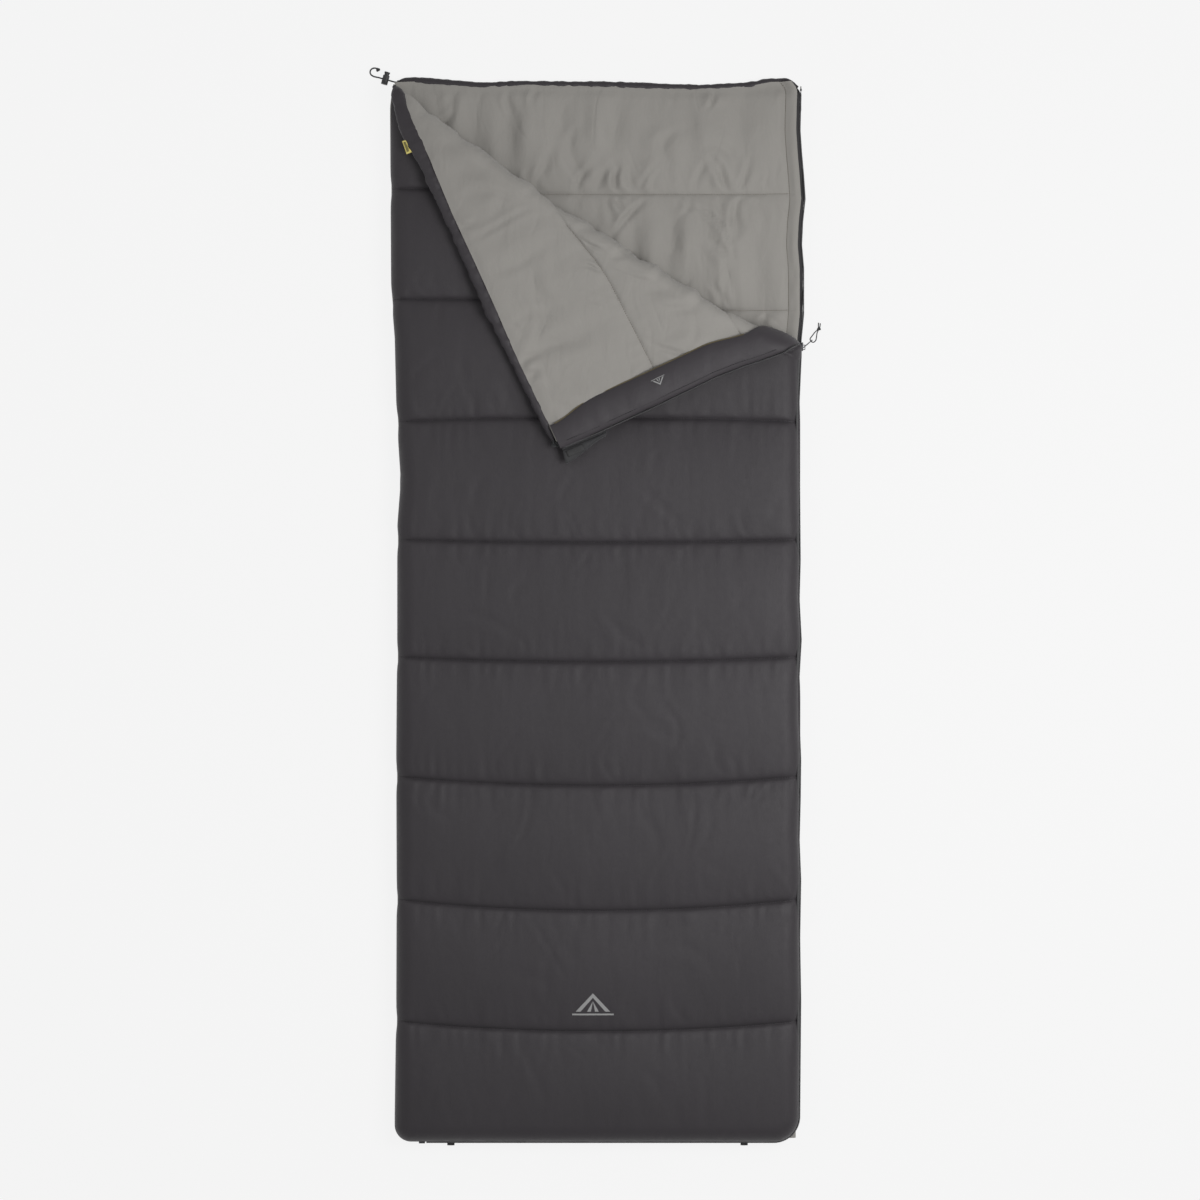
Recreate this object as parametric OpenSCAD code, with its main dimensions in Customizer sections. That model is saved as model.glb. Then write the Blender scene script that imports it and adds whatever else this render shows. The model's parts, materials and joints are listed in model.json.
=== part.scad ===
// Rectangular quilted sleeping bag, lying flat with its head corner folded open.
// +Y points to the head, +X to the zipped side and +Z up. The underside rests on z = 0.

/* [Bag] */
// Width across the closed bag
bag_width = 800; // [760:10:840]
// Length from the head hem to the foot edge
bag_length = 2100; // [2000:10:2200]
// Thickness of one quilt in the middle of a channel
quilt_loft = 30; // [28:1:32]
// Thickness of one quilt where it is stitched through
seam_loft = 8; // [6:1:10]
// Clear height between the two linings
sleeping_gap = 6; // [5:1:8]
// Thickness of the shell and lining fabric
fabric = 0.8; // [0.6:0.1:1]
// Plan radius of the foot corner that the zip turns
corner_r = 50; // [45:1:60]

/* [Quilting] */
// Distance from the head edge to the first seam of the top quilt
top_first_seam = 198; // [180:1:230]
// Distance between the seams of the top quilt
top_pitch = 240; // [230:1:242]
// Distance from the head edge to the first seam of the bottom quilt
bottom_first_seam = 228; // [200:1:240]
// Distance between the seams of the bottom quilt
bottom_pitch = 235; // [230:1:240]

/* [Zip] */
// Length of zip that is open, from the head edge to the slider
zip_open = 529; // [450:1:560]
// Radius of one coil of the zip
coil_r = 1.6; // [1.4:0.1:1.7]
// Width of each zip tape beside its coil
tape_width = 13; // [10:1:15]
// Thickness of the zip tape
tape = 0.8; // [0.6:0.1:0.9]
// Angle of the pull tab, from straight outwards towards the head
pull_angle = 41; // [20:1:60]

/* [Draft tube] */
// Width of the insulated tube behind the zip
tube_width = 70; // [60:1:74]
// Thickness of the insulated tube
tube_thickness = 20; // [16:1:20]

/* [Head hem] */
// Radius of the rolled hem that holds the drawcord
hem_r = 7.5; // [6.5:0.5:7.5]
// Diameter of the drawcord
cord_d = 3; // [2.5:0.5:3]
// Diameter of the cord on the zip pull
pull_cord_d = 2.2; // [2:0.1:2.2]

/* [Trim] */
// Distance from the centre line to each hang loop
loop_offset = 290; // [250:5:310]
// Width of the hang loop webbing
loop_width = 14; // [12:1:16]
// Width of the closing tab, from its fold line
tab_width = 22; // [18:1:24]

/* [Hidden] */
$fn = 48;

clearance = 0.1;
far = 4000;

// Levels of the stack of quilts
bag_height = 2 * quilt_loft + sleeping_gap;
edge_r = bag_height / 2;
bottom_lining_z = quilt_loft;
top_lining_z = quilt_loft + sleeping_gap;
groove = 3;
groove_half = 12;
bottom_seam_z = groove + seam_loft;
top_seam_z = bag_height - 14;
hem_z = hem_r + clearance;
top_hem_z = 48;
flap_hem_x = -bag_width / 2 + 54;
channel_steps = 8;
channel_count = 9;

// Plan positions
head_y = bag_length / 2;
foot_y = -bag_length / 2;
hem_y = head_y - 2 * hem_r;
hem_mid_y = head_y - hem_r;
side_x = bag_width / 2 - edge_r;
foot_mid_y = foot_y + edge_r;
corner_x = bag_width / 2 - corner_r;
corner_y = foot_y + corner_r;
corner_mid_r = corner_r - edge_r;
zip_room_x = side_x - 52;
zip_room_low = 20;
zip_room_high = 46;
zip_end_x = -340;
coil_top_y = head_y - 28;

// Fold of the head corner
fold_start = [-bag_width / 2, head_y - 4];
fold_end = [bag_width / 2 - 4, head_y - zip_open];
fold_run = fold_end - fold_start;
fold_length = norm(fold_run);
fold_angle = atan2(fold_run[1], fold_run[0]);
fold_gap = 0.3;
bend_half = 28;
fold_z = bag_height + 0.4;

// Zip section, measured outwards from the middle of the zipped edge
coil_out = edge_r + 1.2;
coil_up = 2.4;
tape_in = edge_r + 0.2;
tape_from = 7.2;
tape_to = tape_from + tape_width * 180 / (PI * tape_in);

// Closing tab, which folds down over the coils about its round edge
tab_x = side_x + 38.5;
tab_z = 46;
tab_y = head_y - 66;
tab_length = 50;
tab_thick = 1.2;

// Slider and pull
slider_length = 16;
slider_y = head_y - zip_open - 4;
slider_half = 6;
plate = 1.2;
inner_plate_x = side_x + coil_out - 4.6;
outer_plate_x = side_x + coil_out + 2.8;
wedge = 1;
pivot = [outer_plate_x + 2.9, slider_y - 1, edge_r];
pull_length = 22;
pull_thick = 2;

// Drawcord lock, on the stretch of cord between the hem and the knot
cord_from = [-404, 1043.5];
cord_way = 164.4;
lock_at = 16.4;
lock_r = 6.5;
button_travel = 4;
spring_turns = 3;
spring_from = 3.9;
spring_to = 7.6;

// Hang loops, each turning about the round end that is sewn to the foot
loop_r = 4;
loop_reach = 9;
loop_pivot = [foot_y + 2.2, 12];

// Route of the loose end of the drawcord
drawcord_route = [
    [-396, 1042.5, 7.6], [-400, 1042.6, 7.6], [-404, 1043.5, 7.6], [-410, 1045.2, 7.6],
    [-416, 1046.9, 7.6], [-422, 1048.5, 7.6], [-428, 1050.2, 7.6], [-433.5, 1051.8, 7.4],
    [-439, 1053, 6.2], [-444, 1054.8, 4.4], [-448.5, 1058, 2.8], [-450.5, 1062.8, 1.9],
    [-449, 1068, 1.7], [-444.5, 1071, 1.7], [-439, 1071, 2], [-435, 1068, 3]
];
// Route of the cord loop on the zip pull, from one loose end round the pull tab to the other
pull_cord_route = [
    [438, 567, 1.5], [437.6, 562, 1.5], [437.7, 557, 2.6], [436.4, 553, 4.1], [434, 551.2, 6.2],
    [431.1, 548.4, 11.5], [428.4, 545.3, 18.5], [425.9, 542.1, 26], [423.5, 538.8, 31.2],
    [420.6, 535.2, 33], [419.1, 532.2, 33], [420.2, 528.9, 33], [421.5, 527.4, 33],
    [424.6, 525.8, 33], [427.9, 526.9, 33], [430.7, 530.6, 31.2], [432, 535.2, 26],
    [433, 540, 18.5], [434.1, 544.9, 11.5], [435.7, 549.2, 6.2], [437.9, 552.9, 4.1],
    [440, 557, 2.6], [441, 562, 1.5], [441.4, 566, 1.5]
];
pull_knot = [438.4, 555, 3.4];

// ---------- Curves ----------

function bump(t) = 1 - pow(abs(2 * t - 1), 2.6);

// Line of puffed channels through stops of [y, z], rising or falling to crest in each channel
function channel_line(stops, crest) = concat(
    [for (i = [0:len(stops) - 2]) for (k = [0:channel_steps - 1])
        let (t = k / channel_steps, base = stops[i][1] + (stops[i + 1][1] - stops[i][1]) * t)
        [stops[i][0] + (stops[i + 1][0] - stops[i][0]) * t, base + (crest - base) * bump(t)]],
    [stops[len(stops) - 1]]
);

function seam_ys(first, pitch) = [for (i = [channel_count - 2:-1:0]) head_y - first - pitch * i];
top_seams = seam_ys(top_first_seam, top_pitch);
bottom_seams = seam_ys(bottom_first_seam, bottom_pitch);

function stops(seams, foot_z, seam_z, head_z) =
    concat([[foot_y, foot_z]], [for (s = seams) [s, seam_z]], [[hem_y, head_z]]);

function raised(line, dz) = [for (p = line) [p[0], p[1] + dz]];

// The line closed off far above or below it
function closed_at(line, z) = concat(line, [[line[len(line) - 1][0], z], [line[0][0], z]]);

bottom_lining_line = channel_line(stops(bottom_seams, 28, bottom_seam_z, 13), bottom_lining_z);
top_shell_line = channel_line(stops(top_seams, 58, top_seam_z, 54), bag_height);
top_lining_line = channel_line(stops(top_seams, 38, top_seam_z - seam_loft, 42), top_lining_z);
floor_line = concat(
    [[foot_y, 0]],
    [for (s = bottom_seams) each [[s - groove_half, 0], [s, groove], [s + groove_half, 0]]],
    [[hem_y, 0]]
);

// Sweep of a cord along a route of points, as one polyhedron
function unit(v) = v / norm(v);
function heading(p, i) = unit(p[min(i + 1, len(p) - 1)] - p[max(i - 1, 0)]);
function turned(n, t) = unit(n - t * (n * t));
function normals(p, i = 0, n = [0, 0, 1]) =
    let (m = turned(n, heading(p, i))) i == len(p) - 1 ? [m] : concat([m], normals(p, i + 1, m));
function spline(p, i, t) =
    let (a = p[max(i - 1, 0)], b = p[i], c = p[i + 1], d = p[min(i + 2, len(p) - 1)])
    0.5 * (2 * b + (c - a) * t + (2 * a - 5 * b + 4 * c - d) * t * t + (3 * b - a - 3 * c + d) * t * t * t);
function smooth(p, n) = concat([for (i = [0:len(p) - 2]) for (k = [0:n - 1]) spline(p, i, k / n)],
    [p[len(p) - 1]]);

module swept(route, diameter, sides = 8) {
    path = smooth(route, 2);
    up = normals(path);
    last = len(path) - 1;
    points = [for (i = [0:last]) let (side = cross(heading(path, i), up[i])) for (k = [0:sides - 1])
        path[i] + diameter / 2 * (cos(360 * k / sides) * up[i] + sin(360 * k / sides) * side)];
    walls = [for (i = [0:last - 1]) for (k = [0:sides - 1])
        let (a = i * sides + k, b = i * sides + (k + 1) % sides) [a, b, b + sides, a + sides]];
    ends = [[for (k = [sides - 1:-1:0]) k], [for (k = [0:sides - 1]) last * sides + k]];
    polyhedron(points, concat(walls, ends));
}

// ---------- Building blocks ----------

module extrude_x(from, to) {
    translate([from, 0, 0]) rotate([90, 0, 90]) linear_extrude(to - from) children();
}

module extrude_y(from, to) {
    translate([0, to, 0]) rotate([90, 0, 0]) linear_extrude(to - from) children();
}

// A section in [outwards, up] from the middle of the edge, carried down the zipped side
module along_side(from, to) {
    translate([side_x, 0, edge_r]) extrude_y(from, to) children();
}

module along_corner() {
    translate([corner_x, corner_y, edge_r]) rotate([0, 0, -90]) rotate_extrude(angle = 90)
        translate([corner_mid_r, 0]) children();
}

module along_foot(to) {
    translate([corner_x, foot_mid_y, edge_r]) rotate([90, 0, -90]) linear_extrude(corner_x - to) children();
}

module along_zip(head, foot) {
    along_side(corner_y, head) children();
    along_corner() children();
    along_foot(foot) children();
}

module half_disc(r) {
    intersection() {
        circle(r);
        translate([0, -r]) square([r, 2 * r]);
    }
}

// The closed bag without its side fold, taken in by inset
module bag_body(inset) {
    r = edge_r - inset;
    translate([0, 0, inset]) linear_extrude(2 * r) union() {
        translate([-side_x, foot_mid_y]) square([side_x + corner_x, hem_y - foot_mid_y]);
        translate([corner_x - 1, corner_y]) square([corner_mid_r + 1, hem_y - corner_y]);
        translate([corner_x, corner_y]) circle(corner_mid_r);
    }
    along_zip(hem_y, -side_x) half_disc(r);
}

// Space behind the zip for the draft tube
module zip_room(grow) {
    extrude_y(corner_y + 40, head_y) polygon([
        [zip_room_x - 15, bottom_lining_z - grow], [zip_room_x, zip_room_low - grow],
        [bag_width, zip_room_low - grow], [bag_width, zip_room_high + grow],
        [zip_room_x, zip_room_high + grow], [zip_room_x - 15, top_lining_z + grow]
    ]);
}

// The head side of the fold line, set back by gap
module head_side(gap) {
    translate(fold_start) rotate([0, 0, fold_angle]) translate([-far / 2, gap, -far / 2])
        cube([2 * far, far, far]);
}

// Keeps what lies on the foot side of the fold line, as far as setback from it
module below_fold(setback) {
    difference() {
        children();
        head_side(-setback);
    }
}

// Takes what lies on the head side of the fold line, from setback on, and folds it over
module folded_flap(setback) {
    folded() intersection() {
        children();
        head_side(setback);
    }
}

module folded() {
    translate([fold_start[0], fold_start[1], fold_z]) rotate([0, 0, fold_angle]) rotate([180, 0, 0])
        rotate([0, 0, -fold_angle]) translate([-fold_start[0], -fold_start[1], -fold_z]) children();
}

// A section in [away from the fold, up], carried along the fold line
module along_fold(from, to) {
    translate([fold_start[0], fold_start[1], fold_z]) rotate([0, 0, fold_angle])
        rotate([90, 0, 90]) translate([0, 0, from]) linear_extrude(to - from) children();
}

// Parts the filling where the quilting pinches it through, so that each channel holds its own batt
module seam_cuts(seams) {
    for (s = seams) translate([-far / 2, s - clearance, -1]) cube([far, 2 * clearance, bag_height + 2]);
}

// ---------- Bottom quilt ----------

module bottom_space(inset, shell_lift, lining_drop) {
    intersection() {
        bag_body(inset);
        extrude_x(-far, far) polygon(closed_at(raised(floor_line, shell_lift), far));
        extrude_x(-far, far) polygon(closed_at(raised(bottom_lining_line, -lining_drop), -far));
    }
}

module bottom_shell() {
    color([0.07, 0.07, 0.075]) difference() {
        bottom_space(0, 0, 0);
        bottom_space(fabric, fabric, -far);
        zip_room(0);
    }
}

module bottom_insulation() {
    color("white") difference() {
        bottom_space(fabric + clearance, fabric + clearance, fabric + clearance);
        zip_room(fabric + clearance);
        seam_cuts(bottom_seams);
    }
}

module bottom_lining() {
    color([0.27, 0.26, 0.24]) intersection() {
        bottom_space(fabric + clearance, fabric + clearance, 0);
        difference() {
            translate([-side_x, foot_y, 0]) cube([bag_width, bag_length, bag_height]);
            zip_room(0);
        }
        union() {
            extrude_x(-far, far) polygon(closed_at(raised(bottom_lining_line, -fabric), far));
            zip_room(fabric);
        }
    }
}

module quilting_thread(seams, z, to) {
    for (s = seams) translate([-side_x + 4, s - 0.6, z]) cube([to + side_x - 4, 1.2, 0.7]);
}

module bottom_quilting_thread() {
    color([0.2, 0.2, 0.19]) quilting_thread(bottom_seams, bottom_seam_z + 0.35, zip_room_x - 18);
}

// The fold down the side where the two quilts are one piece
module side_fold(outer, inner) {
    difference() {
        side_roll(outer);
        if (inner > 0) side_roll(inner);
    }
}

module side_roll(r) {
    translate([-side_x - clearance, 0, edge_r]) {
        extrude_y(foot_mid_y, hem_y) mirror([1, 0]) half_disc(r);
        intersection() {
            translate([0, foot_mid_y, 0]) sphere(r);
            translate([-bag_width, foot_y - 1, -edge_r]) cube([bag_width, edge_r + 1, bag_height]);
        }
    }
}

module side_fold_shell() {
    color([0.07, 0.07, 0.075]) side_fold(edge_r, edge_r - fabric);
}

module side_fold_insulation() {
    color("white") side_fold(edge_r - fabric - clearance, 0);
}

module hem(z, from, to) {
    translate([from, hem_mid_y, z]) rotate([0, 90, 0]) difference() {
        cylinder(h = to - from, r = hem_r);
        translate([0, 0, -1]) cylinder(h = to - from + 2, r = cord_d);
    }
}

module bottom_head_hem() {
    color([0.08, 0.08, 0.085]) hem(hem_z, -bag_width / 2 + 4, side_x + 20);
}

module hem_cord(z, from, to) {
    translate([from, hem_mid_y, z]) rotate([0, 90, 0]) cylinder(h = to - from, d = cord_d);
}

module bottom_drawcord() {
    color([0.05, 0.05, 0.05]) hem_cord(hem_z, drawcord_route[0][0] + clearance, side_x + 18);
}

// ---------- Zip ----------

// up is 1 for the coil and tape of the top quilt, and -1 for the bottom quilt
module coil_section(up) {
    translate([coil_out, up * coil_up]) circle(coil_r);
}

module tape_section(up) {
    intersection() {
        difference() {
            circle(tape_in + tape);
            circle(tape_in);
        }
        polygon([[0, 0], 2 * edge_r * [cos(up * tape_from), sin(up * tape_from)],
            2 * edge_r * [cos(up * tape_to), sin(up * tape_to)]]);
    }
}

module bottom_zip_tape() {
    color([0.06, 0.06, 0.06]) along_zip(hem_y, zip_end_x) tape_section(-1);
}

module bottom_zip_coil() {
    color([0.1, 0.1, 0.1]) along_zip(coil_top_y, zip_end_x) coil_section(-1);
}

module zip_stop(up) {
    translate([side_x + coil_out - 1.8, coil_top_y + clearance, edge_r + up * coil_up - 1.6])
        cube([3.6, 3.5, 3.2]);
}

module bottom_zip_stop() {
    color([0.12, 0.12, 0.12]) zip_stop(-1);
}

module zip_facing() {
    color([0.27, 0.26, 0.24]) translate([side_x + 3, corner_y + 45, zip_room_low + clearance])
        cube([26, hem_y - corner_y - 45, fabric]);
}

// The box and pin that start the zip at the far end of the foot
module zip_box() {
    color([0.1, 0.1, 0.1]) translate([zip_end_x - 12, foot_y - 3, edge_r - 4.6]) cube([11.9, 4, 4.4]);
}

module zip_pin() {
    color([0.1, 0.1, 0.1]) translate([zip_end_x - 12, foot_y - 3, edge_r + 0.2]) cube([11.9, 4, 4.4]);
}

module tab_loop_patch() {
    color([0.09, 0.09, 0.09]) translate([side_x + tape_in + tape + 0.1, head_y - 66, edge_r - 18])
        cube([1.2, 48, 10.4]);
}

// ---------- Drawcord end ----------

module drawcord_tail() {
    color([0.05, 0.05, 0.05]) swept(drawcord_route, cord_d);
}

module drawcord_knot() {
    color([0.05, 0.05, 0.05]) translate(drawcord_route[len(drawcord_route) - 1]) sphere(r = 2.9);
}

// ---------- Top quilt ----------

module top_space(inset, shell_drop, lining_lift) {
    intersection() {
        bag_body(inset);
        extrude_x(-far, far) polygon(closed_at(raised(top_shell_line, -shell_drop), -far));
        extrude_x(-far, far) polygon(closed_at(raised(top_lining_line, lining_lift), far));
    }
}

module whole_top_shell() {
    difference() {
        top_space(0, 0, 0);
        top_space(fabric, fabric, -far);
        zip_room(0);
    }
}

module whole_top_insulation() {
    difference() {
        top_space(fabric + clearance, fabric + clearance, fabric + clearance);
        zip_room(fabric + clearance);
        seam_cuts(top_seams);
    }
}

module whole_top_lining() {
    intersection() {
        top_space(fabric + clearance, fabric + clearance, 0);
        difference() {
            translate([-side_x, foot_y, 0]) cube([bag_width, bag_length, bag_height]);
            zip_room(0);
        }
        union() {
            extrude_x(-far, far) polygon(closed_at(raised(top_lining_line, fabric), -far));
            zip_room(fabric);
        }
    }
}

module whole_top_thread() {
    quilting_thread(top_seams, top_seam_z + 0.35, side_x - 4);
}

module tube_section(inset) {
    r = tube_thickness / 2 - inset;
    reach = tube_width / 2 - tube_thickness / 2;
    translate([side_x - 10, zip_room_high - 0.4 - tube_thickness / 2]) union() {
        translate([-reach, 0]) circle(r);
        translate([reach, 0]) circle(r);
        translate([-reach, -r]) square([2 * reach, 2 * r]);
    }
}

module whole_tube_cover() {
    extrude_y(corner_y + 50, hem_y - 1) difference() {
        tube_section(0);
        tube_section(fabric);
    }
}

module whole_tube_filling() {
    extrude_y(corner_y + 50, hem_y - 1) tube_section(fabric + clearance);
}

module top_shell() {
    color([0.07, 0.07, 0.075]) below_fold(bend_half) whole_top_shell();
}

module top_insulation() {
    color("white") below_fold(bend_half) whole_top_insulation();
}

module top_lining() {
    color([0.27, 0.26, 0.24]) below_fold(bend_half) whole_top_lining();
}

module top_quilting_thread() {
    color([0.03, 0.03, 0.03]) below_fold(bend_half) whole_top_thread();
}

module top_zip_tape() {
    color([0.06, 0.06, 0.06]) below_fold(0) along_zip(hem_y, zip_end_x) tape_section(1);
}

module top_zip_coil() {
    color([0.1, 0.1, 0.1]) below_fold(0) along_zip(coil_top_y, zip_end_x) coil_section(1);
}

module draft_tube_cover() {
    color([0.08, 0.08, 0.085]) below_fold(bend_half) whole_tube_cover();
}

module draft_tube_filling() {
    color("white") below_fold(bend_half) whole_tube_filling();
}

// Where the corner turns over, the lining is outside and the shell is pinched inside.
// The strip of quilt that is bend_half wide on each side of the fold line goes into this bend.
module along_bend() {
    along_fold(68, fold_length - 34) translate([clearance - bend_half, 0]) children();
}

module fold_roll_lining() {
    r = fold_z - top_lining_z;
    color([0.27, 0.26, 0.24]) along_bend() difference() {
        half_disc(r);
        half_disc(r - fabric);
    }
}

module fold_roll_insulation() {
    color("white") along_bend() half_disc(fold_z - top_lining_z - fabric - clearance);
}

// ---------- Folded corner of the top quilt ----------

module flap_shell() {
    color([0.07, 0.07, 0.075]) folded_flap(bend_half) whole_top_shell();
}

module flap_insulation() {
    color("white") folded_flap(bend_half) whole_top_insulation();
}

module flap_lining() {
    color([0.27, 0.26, 0.24]) folded_flap(bend_half) whole_top_lining();
}

module flap_quilting_thread() {
    color([0.2, 0.2, 0.19]) folded_flap(bend_half) whole_top_thread();
}

module flap_head_hem() {
    color([0.08, 0.08, 0.085]) folded() hem(top_hem_z, flap_hem_x, side_x + 20);
}

module flap_drawcord() {
    color([0.05, 0.05, 0.05]) folded() hem_cord(top_hem_z, flap_hem_x + 2, side_x + 19);
}

module flap_cord_end() {
    color([0.05, 0.05, 0.05]) folded() translate([side_x + 20.2, hem_mid_y, top_hem_z])
        rotate([0, 90, 0]) cylinder(h = 5, r = 5);
}

module flap_zip_tape() {
    color([0.06, 0.06, 0.06]) folded_flap(fold_gap) along_side(0, hem_y) tape_section(1);
}

module flap_zip_coil() {
    color([0.1, 0.1, 0.1]) folded_flap(fold_gap) along_side(0, coil_top_y) coil_section(1);
}

module flap_draft_tube_cover() {
    color([0.08, 0.08, 0.085]) folded_flap(bend_half) whole_tube_cover();
}

module flap_draft_tube_filling() {
    color("white") folded_flap(bend_half) whole_tube_filling();
}

module flap_zip_stop() {
    color([0.12, 0.12, 0.12]) folded() zip_stop(1);
}

module side_label() {
    color([0.75, 0.66, 0.2]) folded() translate([-274, head_y + clearance, top_hem_z - 0.4])
        cube([28, 13, 0.8]);
}

module tab_root() {
    color([0.09, 0.09, 0.09]) folded() translate([side_x + 34.6, tab_y, tab_z - tab_thick / 2])
        cube([3.1, tab_length, tab_thick]);
}

module closing_tab() {
    color([0.09, 0.09, 0.09]) folded() translate([tab_x, tab_y, tab_z]) {
        rotate([-90, 0, 0]) cylinder(h = tab_length, d = tab_thick);
        translate([0, 0, -tab_thick / 2]) cube([tab_width, tab_length, tab_thick]);
    }
}

module tab_hook_patch() {
    color([0.05, 0.05, 0.05]) folded() translate([tab_x + 3, tab_y + 4, tab_z - 1.9])
        cube([tab_width - 6, tab_length - 8, 1.2]);
}

// ---------- Slider and pull ----------

module slider_body() {
    color([0.16, 0.16, 0.17]) translate([0, slider_y - slider_length / 2, 0]) {
        for (x = [inner_plate_x, outer_plate_x]) translate([x, 0, edge_r - slider_half])
            cube([plate, slider_length, 2 * slider_half]);
        for (up = [-1, 1]) translate([inner_plate_x + plate, 0, edge_r + up * (slider_half - 0.5) - 0.5])
            cube([1.3, slider_length, 1]);
        for (up = [-1, 1]) translate([outer_plate_x - 2.1, 0, edge_r + up * (slider_half - 0.5) - 0.5])
            cube([2.1, slider_length, 1]);
        translate([inner_plate_x, slider_length - 5, edge_r - wedge / 2])
            cube([outer_plate_x - inner_plate_x + plate, 5, wedge]);
    }
}

module slider_crown() {
    color([0.16, 0.16, 0.17]) translate([outer_plate_x + plate, slider_y - 6, edge_r - 1.6]) difference() {
        cube([4.4, 10, 3.2]);
        translate([-1, 1.4, -1]) cube([4.2, 7.2, 5.2]);
    }
}

module pull_tab() {
    color([0.13, 0.13, 0.14]) translate(pivot) rotate([0, 0, pull_angle]) difference() {
        union() {
            translate([0, 0, -4.2]) cylinder(h = 8.4, r = 1.1);
            for (z = [-4.2, 2.2]) translate([0, -pull_thick / 2, z]) cube([8, pull_thick, 2]);
            translate([7, -pull_thick / 2, -4.2]) cube([pull_length - 7, pull_thick, 8.4]);
        }
        translate([18.5, 2, 0]) rotate([90, 0, 0]) cylinder(h = 4, r = 2);
    }
}

module pull_cord() {
    color([0.09, 0.1, 0.1]) swept(pull_cord_route, pull_cord_d);
}

module pull_cord_knot() {
    color([0.09, 0.1, 0.1]) translate(pull_knot) sphere(r = 3.3);
}

// ---------- Cord lock ----------

// Frame of the cord lock: +X along the cord and +Y along the button's travel
module at_lock() {
    translate([cord_from[0], cord_from[1], hem_z]) rotate([0, 0, cord_way])
        translate([lock_at, 0, 0]) children();
}

module along_button(from, to, r) {
    translate([0, -from, 0]) rotate([90, 0, 0]) cylinder(h = to - from, r = r);
}

module cord_hole(r) {
    translate([-10, 0, 0]) rotate([0, 90, 0]) cylinder(h = 20, r = r);
}

module lock_barrel() {
    color([0.06, 0.06, 0.06]) at_lock() difference() {
        along_button(-10, 8, lock_r);
        along_button(-8, 9, 5);
        cord_hole(2.3);
    }
}

module lock_spring() {
    steps = 8 * spring_turns;
    color([0.5, 0.5, 0.5]) at_lock() swept([for (k = [0:steps])
        [3.4 * cos(45 * k), spring_from + (spring_to - spring_from) * k / steps, 3.4 * sin(45 * k)]], 0.6, 6);
}

module lock_button() {
    color([0.07, 0.07, 0.07]) at_lock() difference() {
        union() {
            along_button(-3.4, 12.5, 4.8);
            along_button(12.5, 15, 5.6);
        }
        for (y = [-button_travel, 0]) translate([0, y, 0]) cord_hole(2.3);
        translate([-10, -button_travel, -2.3]) cube([20, button_travel, 4.6]);
    }
}

// ---------- Hang loops ----------

module hang_loop(x) {
    color([0.08, 0.08, 0.08]) extrude_x(x - loop_width / 2, x + loop_width / 2)
        translate(loop_pivot) difference() {
            loop_outline(loop_r);
            loop_outline(loop_r - 1.2);
        }
}

module loop_outline(r) {
    for (y = [-loop_reach, 0]) translate([y, 0]) circle(r);
    translate([-loop_reach, -r]) square([loop_reach, 2 * r]);
}

module hang_loop_left() {
    hang_loop(-loop_offset);
}

module hang_loop_right() {
    hang_loop(loop_offset);
}

// ---------- Nodes ----------

bottom_shell();
bottom_insulation();
bottom_lining();
bottom_quilting_thread();
side_fold_shell();
side_fold_insulation();
bottom_head_hem();
bottom_drawcord();
bottom_zip_tape();
bottom_zip_coil();
zip_facing();
bottom_zip_stop();
zip_box();
tab_loop_patch();
drawcord_tail();
drawcord_knot();
top_shell();
top_insulation();
top_lining();
top_quilting_thread();
top_zip_tape();
top_zip_coil();
draft_tube_cover();
draft_tube_filling();
fold_roll_lining();
fold_roll_insulation();
zip_pin();
flap_shell();
flap_insulation();
flap_lining();
flap_quilting_thread();
flap_head_hem();
flap_drawcord();
flap_cord_end();
flap_zip_tape();
flap_zip_coil();
flap_draft_tube_cover();
flap_draft_tube_filling();
flap_zip_stop();
side_label();
tab_root();
closing_tab();
tab_hook_patch();
slider_body();
slider_crown();
pull_tab();
pull_cord();
pull_cord_knot();
lock_barrel();
lock_spring();
lock_button();
hang_loop_left();
hang_loop_right();
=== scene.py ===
"""Looks of the rectangular sleeping bag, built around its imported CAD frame.

Metres. +Y points to the head, +X to the zipped side and +Z up. Cloth is laid out flat first, as if the bag were
closed: xi runs across it and eta along it, both measured along the cloth, so they also go down its rounded edges.
The top quilt's cloth is then turned over the fold line, where the head corner lies folded back.
"""
import json
import math

import bpy
import numpy as np
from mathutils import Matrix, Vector


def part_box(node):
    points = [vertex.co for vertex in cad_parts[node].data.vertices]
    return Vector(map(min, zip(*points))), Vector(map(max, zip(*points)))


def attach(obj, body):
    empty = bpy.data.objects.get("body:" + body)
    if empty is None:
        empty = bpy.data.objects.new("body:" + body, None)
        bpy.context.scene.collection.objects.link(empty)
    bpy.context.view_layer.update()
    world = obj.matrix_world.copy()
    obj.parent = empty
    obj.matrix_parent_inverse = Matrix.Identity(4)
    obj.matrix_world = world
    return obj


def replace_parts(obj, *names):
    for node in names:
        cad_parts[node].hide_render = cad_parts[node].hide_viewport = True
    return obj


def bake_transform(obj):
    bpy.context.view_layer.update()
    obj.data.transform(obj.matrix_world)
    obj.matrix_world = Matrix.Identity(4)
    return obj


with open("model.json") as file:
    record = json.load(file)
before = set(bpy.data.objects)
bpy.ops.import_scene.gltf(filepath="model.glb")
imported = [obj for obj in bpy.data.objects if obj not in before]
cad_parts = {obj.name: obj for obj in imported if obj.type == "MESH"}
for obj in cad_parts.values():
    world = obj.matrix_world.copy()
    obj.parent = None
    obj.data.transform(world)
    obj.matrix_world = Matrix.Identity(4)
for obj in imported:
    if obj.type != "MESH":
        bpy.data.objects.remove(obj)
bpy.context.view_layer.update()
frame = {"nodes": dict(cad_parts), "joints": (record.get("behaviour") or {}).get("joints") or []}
joints = {j["name"]: j for j in frame["joints"]}

# ---------- Measures ----------

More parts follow.
